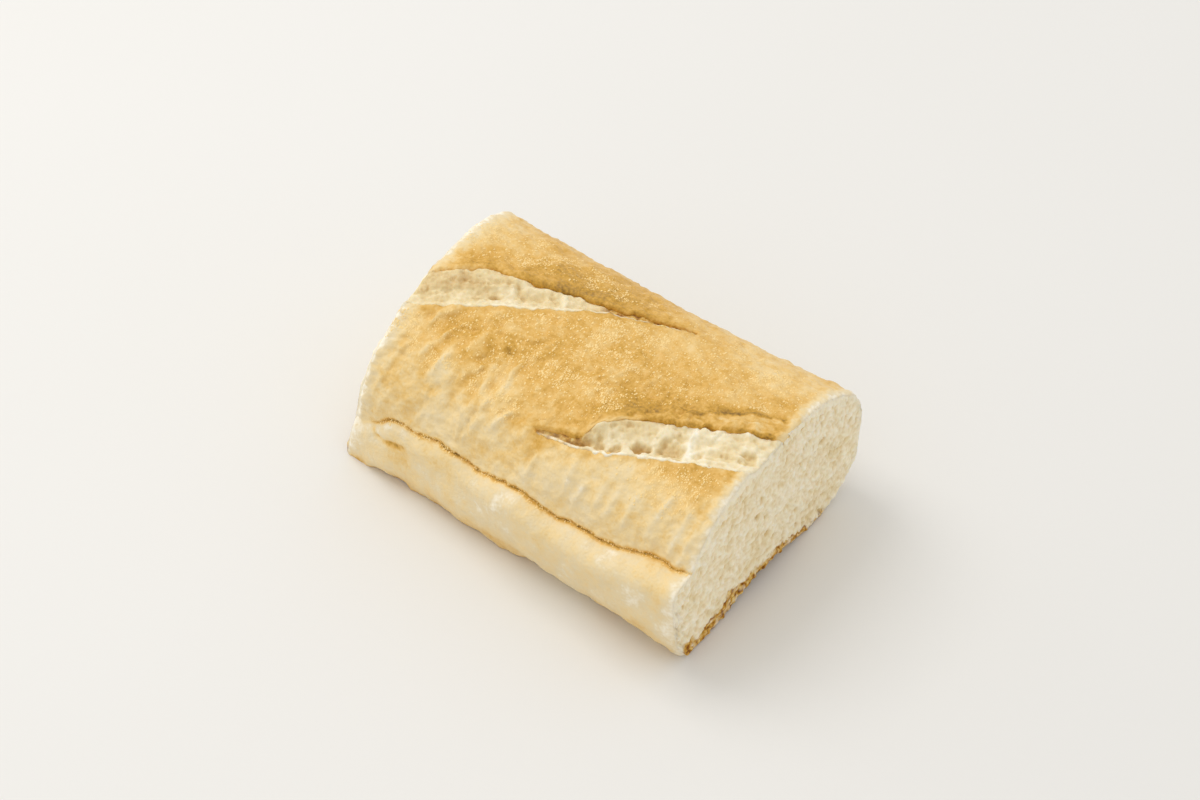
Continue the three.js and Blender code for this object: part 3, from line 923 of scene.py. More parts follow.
# %% [markdown]
# With its rows and its values ready, the crust is one call. It is the piece that stands in for the
# solid of the frame. Its rims and recesses take the paleness of a cut edge, partly the pale cut crust and
# partly a painted glow.

# %% Crust
rim_values = np.full((2, crust_rows.shape[1]), BROWNING["rim"])
crust_values = np.concatenate([rim_values, browning_and_painted_light, rim_values])
crust = make_tube("baguette_crust", crust_rows, CRUST, crust_values, BROWNING["rim"])
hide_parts("baguette")

# %% [markdown]
# Bread crumb is a foam of thin starch walls. Light enters it and comes out again nearby, which softens
# its shading, so the material scatters light under the surface. Hollows are painted warmer and darker, a
# painted shade, and torn edges and walls almost white, partly their own paleness and partly a painted
# highlight. The mesh carries two values for this: how hollow, and so how shaded, a place is, and how
# toasted.

# %% Material of the crumb
# The pale ramp's darker end is the painted shade of deep hollows.
CRUMB_STOPS = [(0.00, "#fff6e4"), (0.30, "#f6e8c9"), (0.60, "#e7d1a2"), (1.00, "#bb9150")]
TOAST_STOPS = [(0.30, "#e9cf8c"), (0.46, "#cfa048"), (0.58, "#a46d28"), (0.68, "#70421a")]
FOAM_MM, FOAM_SHARE, FOAM_BUMP_MM = 0.9, 0.3, 0.3
TOAST_MM = 1.4
MIX_FACTOR, MIX_FIRST, MIX_SECOND, MIX_RESULT = 0, 6, 7, 2


def bread_crumb(name, spread_mm):
    """Hollowness, a painted shade, via a pale ramp, toast via a brown one, pores as bump, light scattered
    inside.
    """
    material, tree = new_material(name)
    place = add_node(tree, "TexCoord").outputs["Object"]
    hollow = add_node(tree, "Attribute", attribute_name="hollow").outputs["Fac"]
    toast = add_node(tree, "Attribute", attribute_name="toast").outputs["Fac"]
    foam = add_node(tree, "TexNoise", {"Scale": noise_scale(FOAM_MM), "Detail": 3.0}, {"Vector": place})
    grains = add_node(tree, "TexNoise", {"Scale": noise_scale(TOAST_MM), "Detail": 2.0}, {"Vector": place})
    level = {1: FOAM_SHARE, 2: -FOAM_SHARE / 2}
    vary = add_node(tree, "Math", level, {0: foam}, operation="MULTIPLY_ADD")
    total = add_node(tree, "Math", {}, {0: hollow, 1: vary}, operation="ADD")
    pale = add_node(tree, "ValToRGB", {}, {"Fac": total}, stops=CRUMB_STOPS)
    brown = add_node(tree, "ValToRGB", {}, {"Fac": grains}, stops=TOAST_STOPS)
    shares = {MIX_FACTOR: toast, MIX_FIRST: pale, MIX_SECOND: brown}
    colour = add_node(tree, "Mix", {}, shares, data_type="RGBA").outputs[MIX_RESULT]
    relief = add_node(tree, "Bump", {"Strength": 0.5, "Distance": FOAM_BUMP_MM * MM}, {"Height": foam})
    scatter = {
        "Roughness": 0.9,
        "IOR": 1.35,
        "Specular IOR Level": 0.2,
        "Subsurface Weight": 0.3,
        "Subsurface Scale": spread_mm * MM,
        "Subsurface Radius": (1.0, 0.8, 0.55),
    }
    shader = add_node(tree, "BsdfPrincipled", scatter, {"Base Color": colour, "Normal": relief})
    add_node(tree, "OutputMaterial", {}, {"Surface": shader})
    return material


OPEN_CRUMB = bread_crumb("open_crumb", 2.0)
TORN_CRUMB = bread_crumb("torn_crumb", 1.5)
print("materials:", OPEN_CRUMB.name, TORN_CRUMB.name)

# %% [markdown]
# A pore field is what gives crumb its look. Instead of placing hundreds of pores one by one, the plane is
# divided into cells, and each cell owns one pore with its own place, size and depth. A point then only
# asks the nine cells around it. Most pores lean the same way, as the dough was stretched.

# %% Pores
PORE_LEAN, PORE_TURN = 1.1, 1.2
PORE_STRETCH = (1.1, 1.9)


def pore_field(u, v, pitch, reach, fullness, seed):
    """Depth of pores from 0 to 1: one jittered ellipse of random size in a cell; some cells have none."""
    cell_u, cell_v = np.floor(u / pitch).astype(np.int64), np.floor(v / pitch).astype(np.int64)
    tables = np.random.default_rng(seed).uniform(0, 1, (5, LATTICE_VALUES))
    depth = np.zeros(np.broadcast(u, v).shape)
    for du, dv in np.ndindex(3, 3):
        at_u, at_v = cell_u + du - 1, cell_v + dv - 1
        key = ((at_u * HASH_PRIMES[0]) ^ (at_v * HASH_PRIMES[1])) % LATTICE_VALUES
        shift_u, shift_v, size, turn, there = (table[key] for table in tables)
        away_u = u - (at_u + shift_u) * pitch
        away_v = v - (at_v + shift_v) * pitch
        tilt = PORE_LEAN + PORE_TURN * (turn - 0.5)
        long = (away_u * np.cos(tilt) + away_v * np.sin(tilt)) / mix(*PORE_STRETCH, turn)
        wide = away_v * np.cos(tilt) - away_u * np.sin(tilt)
        radius = pitch * mix(*reach, size**2)
        hole = (there < fullness) * clamp01(1 - (long**2 + wide**2) / radius**2)
        depth = np.maximum(depth, hole * mix(0.5, 1.0, size))
    return depth


print("pore sample:", np.round(pore_field(np.arange(6.0), np.zeros(6), 2.0, (0.2, 0.5), 0.8, 3), 2))

# %% [markdown]
# The face of a cut is a slab of crumb that sits in the crust's recess. Its outline is the crust's own
# ring moved inwards, split into an upper and a lower line, and the slab is ruled between them. Its front
# carries pores of three sizes and a few larger holes listed one by one, each given by its y, its z and half
# its width and height. Along the base it turns into the thick, toasted crust that baked on the oven floor.
# The slanted cut is the smoother of the two, as it faces the light.

# %% Crumb at the cuts
FACE_STEP = 0.33
FACE_INSET = 0.7
FACE_TAPER = 1.3
FACE_GAP = 0.3
FACE_REACH = 2.6
FACE_BULGE, FACE_EDGE = 0.45, -0.08
FACE_ROUGHNESS = dict(square=1.0, slanted=0.6)
FACE_PORES = [(7.0, (0.04, 0.16), 0.5), (2.4, (0.14, 0.38), 0.65), (1.15, (0.25, 0.55), 0.9)]
PORE_DEPTHS = (1.1, 0.5, 0.32)
# How much darker each size of pore is painted: a painted shade in the pores.
PORE_SHADES = (0.45, 0.22, 0.12)
FACE_HOLES = dict(
    square=[(22.1, 32.6, 1.5, 1.1), (-7.1, 28.3, 0.9, 2.2), (12.0, 31.6, 0.8, 1.3)],
    slanted=[(-12.0, 24.0, 1.2, 1.8), (14.0, 33.0, 1.6, 1.2)],
)
BASE_BAND = [
    (-40, 3.0), (-36, 6.5), (-34, 7.2), (-31, 4.6), (-27, 7.2), (-21, 6.4), (-17, 8.4), (-12, 6.4),
    (-5, 4.0), (1, 3.5), (7, 4.2), (13, 3.8), (18, 3.0), (26, 2.2), (33, 1.0), (38, 0.0),
]


def face_outline(ring, count):
    """Lower and upper line of an inset ring at even steps across the loaf."""
    y, z = inset_ring(ring[:, 1:], FACE_INSET).T
    far, near = int(np.argmax(y)), int(np.argmin(y))
    upper = np.arange(far, near + 1)
    lower = np.concatenate([np.arange(near, len(y)), np.arange(0, far + 1)])
    across = np.linspace(y[near] + 0.02, y[far] - 0.02, count)
    upper_y = np.maximum.accumulate(y[upper][::-1])
    lower_y = np.maximum.accumulate(y[lower])
    return across, np.interp(across, lower_y, z[lower]), np.interp(across, upper_y, z[upper][::-1])


def face_pores(end, y, z, seed):
    """Depth of the pores of three sizes; the large ones include the holes placed by hand."""
    large, medium, small = (pore_field(y, z, *kind, seed + i) for i, kind in enumerate(FACE_PORES))
    ragged = 1 + 0.3 * dough_noise(sheet(y, z), 1.2, seed + 9)
    for hole_y, hole_z, wide, high in FACE_HOLES[end]:
        away = np.hypot((y - hole_y) / wide, (z - hole_z) / high) * ragged
        large = np.maximum(large, 1.2 * clamp01(1 - away**2))
    return large, medium, small


def base_toast(y, z, bottom, seed):
    """How toasted the crumb is: a ragged band of its own height over the base, in patches."""
    flat = sheet(y, z)
    above = z - np.minimum(base_arch(y), bottom + 0.5)
    ragged = noise_layers(flat, [(1.0, 2.0, seed + 5), (0.6, 0.9, seed + 6)])
    toast = smooth((follow(BASE_BAND, y) - above + ragged) / 0.8)
    return toast * smooth(1.0 + 0.9 * dough_noise(flat, 1.7, seed + 10))


def build_cut_face(name, ring, end, seed):
    """A slab of crumb on a cut's plane: a soft bulge less pores plus noise, and lumps where it is toasted.

    The back is a little smaller than the front, so that its edge stays inside the uneven crust.
    """
    across, bottom, top = face_outline(ring, int(np.ptp(ring[:, 1]) / FACE_STEP))
    levels = np.linspace(0, 1, int((top - bottom).max() / FACE_STEP))
    y = np.repeat(across[:, None], len(levels), axis=1)
    bottom, top = bottom[:, None], top[:, None]
    z = mix(bottom, top, levels)
    flat = sheet(y, z)
    from_sides = np.minimum(y - across[0], across[-1] - y)
    inside = np.minimum(np.minimum(z - bottom, top - z), from_sides)
    pores = face_pores(end, y, z, seed)
    toast = base_toast(y, z, bottom, seed)
    sunk = sum(depth * pore for depth, pore in zip(PORE_DEPTHS, pores))
    pore_shade = sum(share * pore for share, pore in zip(PORE_SHADES, pores))
    bumps = noise_layers(flat, [(0.22, 1.7, seed + 4), (0.32, 0.85, seed + 8)])
    torn = FACE_ROUGHNESS[end] * (bumps - sunk) + 0.3 * dough_noise(flat, 5.0, seed + 3)
    relief = mix(FACE_EDGE, FACE_BULGE + torn, ramp(inside, 0, 1.2))
    relief = mix(relief, 0.2 + 0.6 * dough_noise(flat, 1.3, seed + 7), toast)
    # Pores painted darker and raised bumps paler: painted shade and light on the relief.
    hollow = 0.33 + pore_shade + 0.10 * dough_noise(flat, 7.0, seed + 11) - 0.5 * bumps
    # Paler along the face's edge: a painted glow where light passes through the thin rim.
    hollow = mix(0.22, hollow, ramp(inside, 0, 2.5))
    spoke = np.stack([0 * y, y, z - CORE_HEIGHT], axis=-1)
    inwards = FACE_TAPER / np.maximum(np.linalg.norm(spoke, axis=-1, keepdims=True), FACE_TAPER)
    back = on_cut(end, y, z, FACE_GAP - RECESS) - inwards * spoke
    make_slab(name, on_cut(end, y, z, relief), back, OPEN_CRUMB, hollow=hollow, toast=toast)


slanted_ring, square_ring = scored(skin_points[[0, -1]], 0.0, 0.0, FACE_REACH)
build_cut_face("crumb_square_cut", square_ring, "square", 40)
build_cut_face("crumb_slanted_cut", slanted_ring, "slanted", 60)

# %% [markdown]
# Inside a score the crumb tore open while it was still soft. Bubbles were left as oval pockets with pale
# walls between them, and along the low lip the skin frayed into a row of small teeth. The torn crumb is a
# slab on the score's own coordinates, finer than the crust, whose low edge lies over the crust and whose
# other edge goes in under the lip. Its grid has to end at the cut, so the run is settled in a few passes.

# %% Grid of the torn crumb
TORN_STEP = 0.28
WIDEST_SCORE = 14.0
FRINGE, TUCK, SPARE = 1.5, 1.4, 0.2
CUT_PASSES = 3
SCORE_BELOW_CROWN = 1.5


def run_to_cut(score, across):
    """Run at which a line that far across meets the cut, the slanted one taken at the loaf's top."""
    heading = np.radians(score["heading"])
    ahead, aside = np.cos(heading), np.sin(heading)
    side = np.sign(ahead) * across
    if ahead > 0:
        return (HALF_LENGTH - score["tip"][0] + side * aside) / ahead
    start = slanted_plane(score["tip"][1], CORE_HEIGHT + CROWN_RISE - SCORE_BELOW_CROWN) - score["tip"][0]
    return (start + side * (aside + SLANT_PER_WIDTH * ahead)) / (ahead - SLANT_PER_WIDTH * aside)


def torn_grid(score):
    """Run and distance across of the slab's points: even shares from the frayed edge to under the lip."""
    rows = int((score["run"] - score["starts"]) / TORN_STEP)
    columns = int((WIDEST_SCORE + FRINGE + TUCK) / TORN_STEP)
    along, beside = np.meshgrid(np.linspace(0, 1, rows), np.linspace(0, 1, columns), indexing="ij")
    run = mix(score["starts"], score["run"], along)
    for _ in range(CUT_PASSES):
        low, lifted, opened = score_lips(score, run)
        across = mix(low - FRINGE * opened - SPARE, lifted + TUCK * opened + SPARE, beside)
        run = mix(score["starts"], run_to_cut(score, across), along)
    return run, across


def raised(points, height):
    """Points moved straight up by a height."""
    moved = points.copy()
    moved[..., 2] += height
    return moved


print("points of the front slab:", torn_grid(SCORES["front"])[0].shape)

# %% [markdown]
# The pockets that stand out are placed one by one: each has its run, distance across, half its length,
# half its width, and its depth. A wall between two of them has its run, lean, half width and height. Finer
# pores and roughness are noise. The low edge is frayed more in some places than in others, and the floor
# of the rear score has one long step.

# %% Torn crumb in the scores
TORN_THICKNESS = 0.9
POCKETS = dict(
    front=[
        (12.5, -2.6, 3.0, 1.6, 0.8),
        (16.2, -3.6, 1.7, 1.7, 1.3),
        (20.8, -3.6, 2.0, 1.7, 1.3),
        (26.0, -2.4, 3.4, 1.7, 1.5),
        (34.2, -1.4, 4.6, 4.0, 1.2),
        (40.8, -3.4, 1.7, 1.5, 0.9),
        (47.0, -2.0, 3.6, 2.2, 0.4),
        (54.0, -1.4, 2.4, 2.4, 1.0),
    ],
    rear=[
        (58.3, -2.0, 2.9, 1.2, 1.0),
        (61.5, -3.4, 2.6, 0.8, 0.6),
        (48.0, 0.2, 3.4, 2.2, 0.4),
        (66.0, 3.0, 4.5, 2.4, 0.4),
        (38.5, -1.8, 2.0, 1.2, 0.5),
    ],
)
WALLS = dict(
    front=[(38.7, -0.05, 1.0, 0.6), (52.0, -0.1, 0.8, 0.4)],
    rear=[(54.6, 0.1, 0.9, 0.25), (40.6, 0.0, 0.9, 0.3)],
)
FRAYED = dict(
    front=[(0, 0.2), (5, 0.45), (12, 0.7), (15, 0.95), (27, 0.85), (34, 0.45), (66, 0.35)],
    rear=[(3, 0.5), (64, 0.5), (70, 0.0)],
)
STEP_LINE = [(50, 2.4), (56.3, 1.3), (63, 0.2), (70.4, -0.9), (86, -2.5)]


def pockets_and_walls(name, torn, seed):
    """Depth of the torn bubbles, and height of the pale walls between them."""
    pocket, walls = np.zeros(torn.run.shape), np.zeros(torn.run.shape)
    wobble = 1 + noise_layers(torn.flat, [(0.5, 2.6, seed + 2), (0.35, 1.1, seed + 11)])
    for run, across, long, wide, depth in POCKETS[name]:
        away = np.hypot((torn.run - run) / long, (torn.across - across) / wide) * wobble
        pocket = np.maximum(pocket, depth * ramp(away, 1.1, 0.3))
    for run, lean, width, height in WALLS[name]:
        bent = run + lean * torn.across + 0.6 * dough_noise(torn.flat, 3.0, seed + 3)
        line = bump((torn.run - bent) / width) * ramp(torn.from_low, 0.8, 2.3)
        walls = np.maximum(walls, height * line * (0.7 + 0.5 * dough_noise(torn.flat, 1.8, seed + 12)))
    return pocket, walls


def torn_places(name, seed):
    """All that is known of the slab's points: place, skin, frayed edge, pockets, walls and roughness."""
    score = SCORES[name]
    run, across = torn_grid(score)
    low, lifted, opened = score_lips(score, run)
    x, y = score_plan(score, run, across)
    flat = sheet(run, across)
    frayed = follow(FRAYED[name], run)
    tooth = dough_noise(sheet(run, 0.35 * across), (1.7, 1.0), seed) + 0.5 * dough_noise(flat, 0.8, seed + 1)
    from_low = across - low + opened * mix(0.3, 0.75, frayed) * tooth
    step = ramp(across - follow(STEP_LINE, run) + 0.4 * dough_noise(flat, 2.0, seed + 10), 0, 0.7)
    torn = SimpleNamespace(score=score, run=run, across=across, low=low, lifted=lifted, opened=opened)
    torn.skin = loaf_skin(x, top_angle(x, y))
    torn.flat, torn.from_low = flat, from_low
    torn.inside = ramp(from_low, 0, 1.4)
    torn.under_lip = ramp(across - lifted, -0.6, 0.6)
    torn.step = step * ramp(run, 50, 55) if name == "rear" else 0.0
    streaks = [(0.28, (4.5, 1.5), seed + 4), (0.24, 1.5, seed + 5), (0.14, 0.7, seed + 6)]
    torn.rough = noise_layers(flat, streaks)
    torn.fine = pore_field(run, across, 1.7, (0.2, 0.45), 0.6, seed + 7)
    torn.white = frayed * smooth((0.7 + 1.3 * tooth - from_low) / 0.7) * ramp(from_low, -0.3, 0.2)
    torn.pocket, torn.walls = pockets_and_walls(name, torn, seed)
    return torn


def torn_height(torn):
    """Height over the skin: less the floor's depth, pockets and pores, plus walls; its edge slopes off."""
    depth = crumb_depth(torn.score, torn.run, torn.across) - 0.6 * torn.step
    relief = torn.pocket + 0.16 * torn.fine - torn.walls - torn.rough + 0.5 * torn.under_lip
    height = 0.35 * torn.opened * torn.white - torn.inside * (depth + torn.opened * relief)
    height = height - (0.5 + 0.6 * torn.opened) * ramp(torn.from_low, -0.1, -1.2) - 0.3 * (1 - torn.opened)
    return height - 0.9 * ramp(torn.from_low, 0.5, -0.3) * ramp(cut_distance(torn.skin), 5, 2)


def torn_colours(name, torn, seed):
    """How hollow and toasted the crumb looks, with painted highlight on walls and painted shade in hollows.
    """
    # White torn edges and walls: the crumb's own paleness with a painted highlight on the raised walls.
    white = clamp01(torn.white + 1.2 * torn.walls)
    # Painted shade in pockets and pores, paler where the crumb is white.
    hollow = 0.40 + 0.28 * torn.pocket + 0.12 * torn.fine - 0.40 * white
    # Painted shade under the lifted lip, and painted light and shade that follow the raised and sunk
    # roughness.
    hollow = hollow + 0.10 * torn.under_lip + 0.08 * torn.step - 0.25 * torn.rough
    # Darker where the edge slopes in under the crust, a painted shade, and varied at random.
    hollow = mix(hollow, 0.5, ramp(torn.from_low, 0.2, -0.4)) + 0.10 * dough_noise(torn.flat, 4.0, seed + 8)
    if name == "front":
        narrow = ramp(torn.run, 16, 9)
        towards_lip = smooth((torn.across - torn.low) / (torn.lifted - torn.low) - 0.2)
        # Painted shade in the narrow left end of the front score, and near its lifted lip round 25 mm along.
        hollow = hollow + torn.inside * (0.10 * ramp(torn.run, 26, 14) + 0.4 * narrow)
        hollow = hollow + 0.24 * bump((torn.run - 25) / 6) * towards_lip
        # The narrow end is browned: partly toast and partly painted shade.
        slit_toast_and_shade = 0.5 * narrow
    else:
        hollow = hollow + 0.16
        # The closing tail of the rear score is browned: partly toast and partly painted shade.
        slit_toast_and_shade = 0.9 * ramp(torn.lifted - torn.low, 5.0, 2.8)
    toast = clamp01(slit_toast_and_shade + 0.3 * torn.under_lip * smooth(0.3 + dough_noise(torn.flat, 2.0, seed + 9)))
    return hollow, toast * (1 - clamp01(1.4 * white))


def build_torn_crumb(name, seed):
    """The slab in a score: its front at the torn height, rounded at the cut, and its back straight below."""
    torn = torn_places(name, seed)
    front = raised(torn.skin, torn_height(torn))
    front = rounded(front, cut_distance(front))
    back = raised(front, -TORN_THICKNESS)
    hollow, toast = torn_colours(name, torn, seed)
    make_slab("score_crumb_" + name, front, back, TORN_CRUMB, hollow=hollow, toast=toast)


for score_name, score_seed in (("front", 80), ("rear", 100)):
    build_torn_crumb(score_name, score_seed)

# %% [markdown]
# Behind each score the crust rolls down to the torn crumb and browns as it goes, and its edge is also
# painted darker as shade under the lip. Along the front score a strip of thin skin tore free below the
# edge, so there the lip has two brown lines with a tan strip between. Each lip is a profile carried along
# the score, finer than the crust: along the skin, round the roll, and back underneath.

# %% Lips of the scores
LIP_STEP = 0.28
LIP_TOP, LIP_ROLL, LIP_DOWN, LIP_UNDER = 36, 9, 3, 6
LIP_LIFT, LIP_FOOT, LIP_LEAD = 0.03, 1.7, 1.5
LIP_INSIDE = 0.5
FULL_STEP = 0.75


def lip_profile():
    """For each point of the profile: shares of the flat part, the roll's width and height, and the foot."""
    turn = np.linspace(0, np.pi / 2, LIP_ROLL + 1)[1:]
    down = np.linspace(0, 1, LIP_DOWN + 1)[1:]
    under = np.linspace(0, 1, LIP_UNDER + 1)[1:]
    flat_part = np.concatenate([np.linspace(1, 0, LIP_TOP), 0 * turn, 0 * down, under])
    roll_width = np.concatenate([np.ones(LIP_TOP), 1 - np.sin(turn), 0 * down, under])
    roll_height = np.concatenate([np.zeros(LIP_TOP), 1 - np.cos(turn), 1 + 0 * down, 1 + 0 * under])
    foot = np.concatenate([np.zeros(LIP_TOP), 0 * turn, down, 1 + 0 * under])
    return flat_part, roll_width, roll_height, foot


def lip_places(score, seed):
    """All that is known of a lip's points: place on the score, distance behind its edge, skin and strip."""
    flat_part, roll_width, _, foot = lip_profile()
    start = score["starts"] - LIP_LEAD
    share = np.linspace(0, 1, int((score["run"] - start) / LIP_STEP))[:, None]
    run = mix(start, score["run"], share) + 0 * foot
    for _ in range(CUT_PASSES):
        _, lifted, opened = score_lips(score, run)
        waver = noise_layers(sheet(run, 0.0), [(0.45, 3.0, seed), (0.3, 1.0, seed + 1)])
        wide = score["roll"][0] * mix(0.6, 1.0, opened)
        behind = flat_part * (follow(score["back"], run) - wide) + roll_width * wide
        across = lifted + mix(0.4, 1.0, opened) * waver * (1 - flat_part) + behind
        run = mix(start, run_to_cut(score, across), share)
    x, y = score_plan(score, run, across)
    lip = SimpleNamespace(score=score, start=start, run=run, behind=behind, wide=wide, opened=opened, x=x)
    lip.degrees = top_angle(x, y)
    lip.skin = loaf_skin(x, lip.degrees)
    lip.flat = sheet(run, across)
    lip.strip = follow(score["strip"], run)
    lip.line = lip.strip + 0.5 * dough_noise(lip.flat, 2.4, seed + 2)
    lip.on_strip = ramp(lip.line - behind, 0, 0.7) * ramp(lip.strip, 0, 1.5)
    return lip


def lip_height(lip, seed):
    """Height over the skin: sunk at the back, the tip and the strip, then down the roll and the foot."""
    flat_part, _, roll_height, foot = lip_profile()
    lift = LIP_LIFT - 0.55 * ramp(flat_part, 0.86, 1) - 0.6 * ramp(lip.run - lip.start, 3, 0)
    lift = lift - lip.on_strip * (0.3 - 0.12 * dough_noise(lip.flat, 1.1, seed + 3))
    step = follow(lip.score["step"], lip.run) / FULL_STEP
    return lift - roll_height * lip.score["roll"][1] * step * mix(0.7, 1.0, lip.opened) - foot * LIP_FOOT


def lip_browning(lip, seed):
    """The crust's colour, a tan strip with a brown upper line, an edge brown and in painted shade, a pale
    cut.
    """
    grains = dough_noise(lip.flat, (1.3, 0.8), seed + 4)
    patches = dough_noise(lip.flat, (3.0, 2.0), seed + 5)
    tan = mix(0.61, 0.48, ramp(lip.run, 30, 42)) + 0.08 * patches + 0.10 * grains
    value = mix(crust_browning(lip.x, lip.degrees, lip.skin), tan, lip.on_strip)
    upper_line = bump((lip.behind - lip.line) / 0.8) * ramp(lip.strip, 0, 2.5)
    value = value + upper_line * (0.05 + 0.08 * grains + 0.05 * patches)
    # The lip's edge is browned and also painted darker as shade under the lip.
    edge_brown_and_shade = clamp01(smooth(1.2 - lip.behind / lip.wide) * (0.9 + 0.3 * grains + 0.15 * patches))
    value = mix(value, follow(lip.score["brown"], lip.run), edge_brown_and_shade * mix(0.5, 1.0, lip.opened))
    return mix(value, 0.3, ramp(cut_distance(lip.skin), 2.5, 0.5))


def build_lip(name, seed):
    """The rolled lip: skin points from behind it to the torn crumb, moved to its height and rounded."""
    lip = lip_places(SCORES[name], seed)
    points = raised(lip.skin, lip_height(lip, seed))
    points = rounded(points, cut_distance(points))
    make_tube("score_lip_" + name, points, CRUST, lip_browning(lip, seed), LIP_INSIDE)


for score_name, score_seed in (("front", 120), ("rear", 140)):
    build_lip(score_name, score_seed)

# %% [markdown]
# In the hot, steamy oven tiny blisters rose on the skin of the top, and they stayed paler than the crust
# around them. Most are 0.2 to 0.6 mm wide, so each is a dome of a few faces. All of them are one
# mesh, made by adding one small dome to every chosen place of the crust at once. A place is somewhere
# inside a cell of the crust's grid, as dots on its corners would show up as rows. Their thin dry skin is
# a paler, shinier gold than the crust, and the paleness also stands in for glints of light, a painted
# highlight.

# %% Places of the blisters
BLISTERS = 8000
SEAM_GRAINS = 500


def grid_normals(points):
    """Outward unit normals of a grid whose columns close on themselves, from differences of neighbours."""
    along = np.gradient(points, axis=0)
    round_ring = np.roll(points, -1, axis=1) - np.roll(points, 1, axis=1)
    normal = np.cross(round_ring, along)
    normal = normal / np.linalg.norm(normal, axis=-1, keepdims=True)
    outwards = np.sign(np.einsum("ijk,ijk->", normal, points - points.mean((0, 1))))
    return normal * outwards


def blister_chance(x, degrees, points):
    """Where blisters rise: in clusters on the browned top, off the scores and cuts, and along the seam."""
    flat = unrolled(x, degrees)
    top = ramp(degrees, 35, 55) * ramp(degrees, 150, 120)
    clusters = smooth(0.2 + 1.7 * dough_noise(flat, 8.0, 30)) ** 2
    clusters = clusters * smooth(0.3 + 1.8 * dough_noise(flat, 2.6, 31))
    chance = top * (0.03 + clusters) * ramp(x, -60, -40) * ramp(x, HALF_LENGTH - 3, HALF_LENGTH - 6)
    for score in SCORES.values():
        run, across = score_coordinates(score, points[..., 0], points[..., 1])
        low, lifted, _ = score_lips(score, run)
        covered = ramp(across - low, -2, -1) * ramp(lifted + follow(score["back"], run) - across, 0, 1)
        chance = chance * (1 - covered * ramp(run - score["starts"], -2, -1))
    seam = seam_opened(x) * bump((seam_distance(x, degrees) - 0.1) / 0.6)
    return mix(chance / chance.sum(), seam / seam.sum(), SEAM_GRAINS / BLISTERS)


def between_corners(grid, chosen, shares):
    """Values inside the cells that start at the chosen corners, mixed by a share along and one round."""
    rows, columns = grid.shape[:2]
    row, column = np.divmod(chosen, columns)
    next_row, next_column = np.minimum(row + 1, rows - 1), (column + 1) % columns
    here = mix(grid[row, column], grid[next_row, column], shares[0])
    beside = mix(grid[row, next_column], grid[next_row, next_column], shares[0])
    return mix(here, beside, shares[1])


chance = blister_chance(crust_x, crust_degrees, skin_points).ravel()
print("grid places where a blister may rise:", int((chance > 0).sum()), "of", chance.size)

# %% [markdown]
# A dome has a base ring just under the skin, a ring near its top, a root below and a tip. Every dome is
# turned, stretched and sized by chance, with many small ones and few large.

# %% Blisters
DOME_SIDES = 6
DOME_SIZES, DOME_SIZE_POWER = (0.08, 0.30), 2.5
DOME_STRETCH = (0.7, 1.9)
DOME_RINGS = [(1.25, -0.2), (0.7, 0.3)]
DOME_ROOT, DOME_TIP = -0.3, 0.46


def blister_skin_and_glint():
    """Thin dried skin: pale gold, partly a painted highlight for glints, with enough gloss to catch the
    light.
    """
    material, tree = new_material("blister_skin_and_glint")
    dry = {"Base Color": linear("#fadb98"), "Roughness": 0.4, "IOR": 1.45}
    shader = add_node(tree, "BsdfPrincipled", dry)
    add_node(tree, "OutputMaterial", {}, {"Surface": shader})
    return material


def build_blisters():
    """Domes on chosen places of the crust, each from its rings (width, height), its root and its tip."""
    random = np.random.default_rng(7)
    chosen = random.choice(chance.size, BLISTERS, replace=False, p=chance)
    shares = random.uniform(0, 1, (2, BLISTERS, 1))
    centre = between_corners(crust_points, chosen, shares)[:, None]
    normal = between_corners(grid_normals(crust_points), chosen, shares)
    size = mix(*DOME_SIZES, random.uniform(0, 1, (BLISTERS, 1, 1)) ** DOME_SIZE_POWER)
    stretch = random.uniform(*DOME_STRETCH, (BLISTERS, 1, 1))
    side = np.cross(normal, [1.0, 0.0, 0.0])
    side = side / np.linalg.norm(side, axis=1, keepdims=True)
    other = np.cross(normal, side)
    turn = 2 * np.pi * (np.arange(DOME_SIDES) + random.uniform(0, 1, (BLISTERS, 1))) / DOME_SIDES
    circle = stretch * np.cos(turn)[..., None] * side[:, None] + np.sin(turn)[..., None] * other[:, None]
    up = normal[:, None]
    rings = [centre + size * (circle * wide + high * up) for wide, high in DOME_RINGS]
    ends = [centre + size * high * up for high in (DOME_ROOT, DOME_TIP)]
    points = np.concatenate([*rings, *ends], axis=1)
    start = np.arange(BLISTERS)[:, None, None] * points.shape[1]
    domes = [(face[None] + start).reshape(-1, face.shape[1]) for face in ring_faces(2, DOME_SIDES)]
    make_piece("crust_blisters", points.reshape(-1, 3), domes, blister_skin_and_glint(), {})


build_blisters()

# %% [markdown]
# The loaf lies on a plain pale floor in a bright room: a broad, soft light from above on the left, a weak
# low one from the same side, and a pale surround. Large lights give soft shadows, and the floor throws
# light back up into the side that faces away from them.

# %% Floor and light
FLOOR_HALF = 3.0
FLOOR_TONES = [(0.0, "#e8e7e4"), (1.0, "#ebeae8")]
CLOUD_MM = 180.0
LIGHT_TARGET = Vector((0.0, 0.0, 0.02))
LIGHT_DISTANCE = 1.2
LIGHT_COLOUR, ROOM_COLOUR = "#fffcf6", "#fefdfb"
ROOM_STRENGTH = 0.82
LIGHTS = dict(
    key=dict(direction=(-0.52, -0.02, 0.85), size=0.7, power=4.5),
    side=dict(direction=(-0.97, 0.0, 0.25), size=0.5, power=0.8),
)


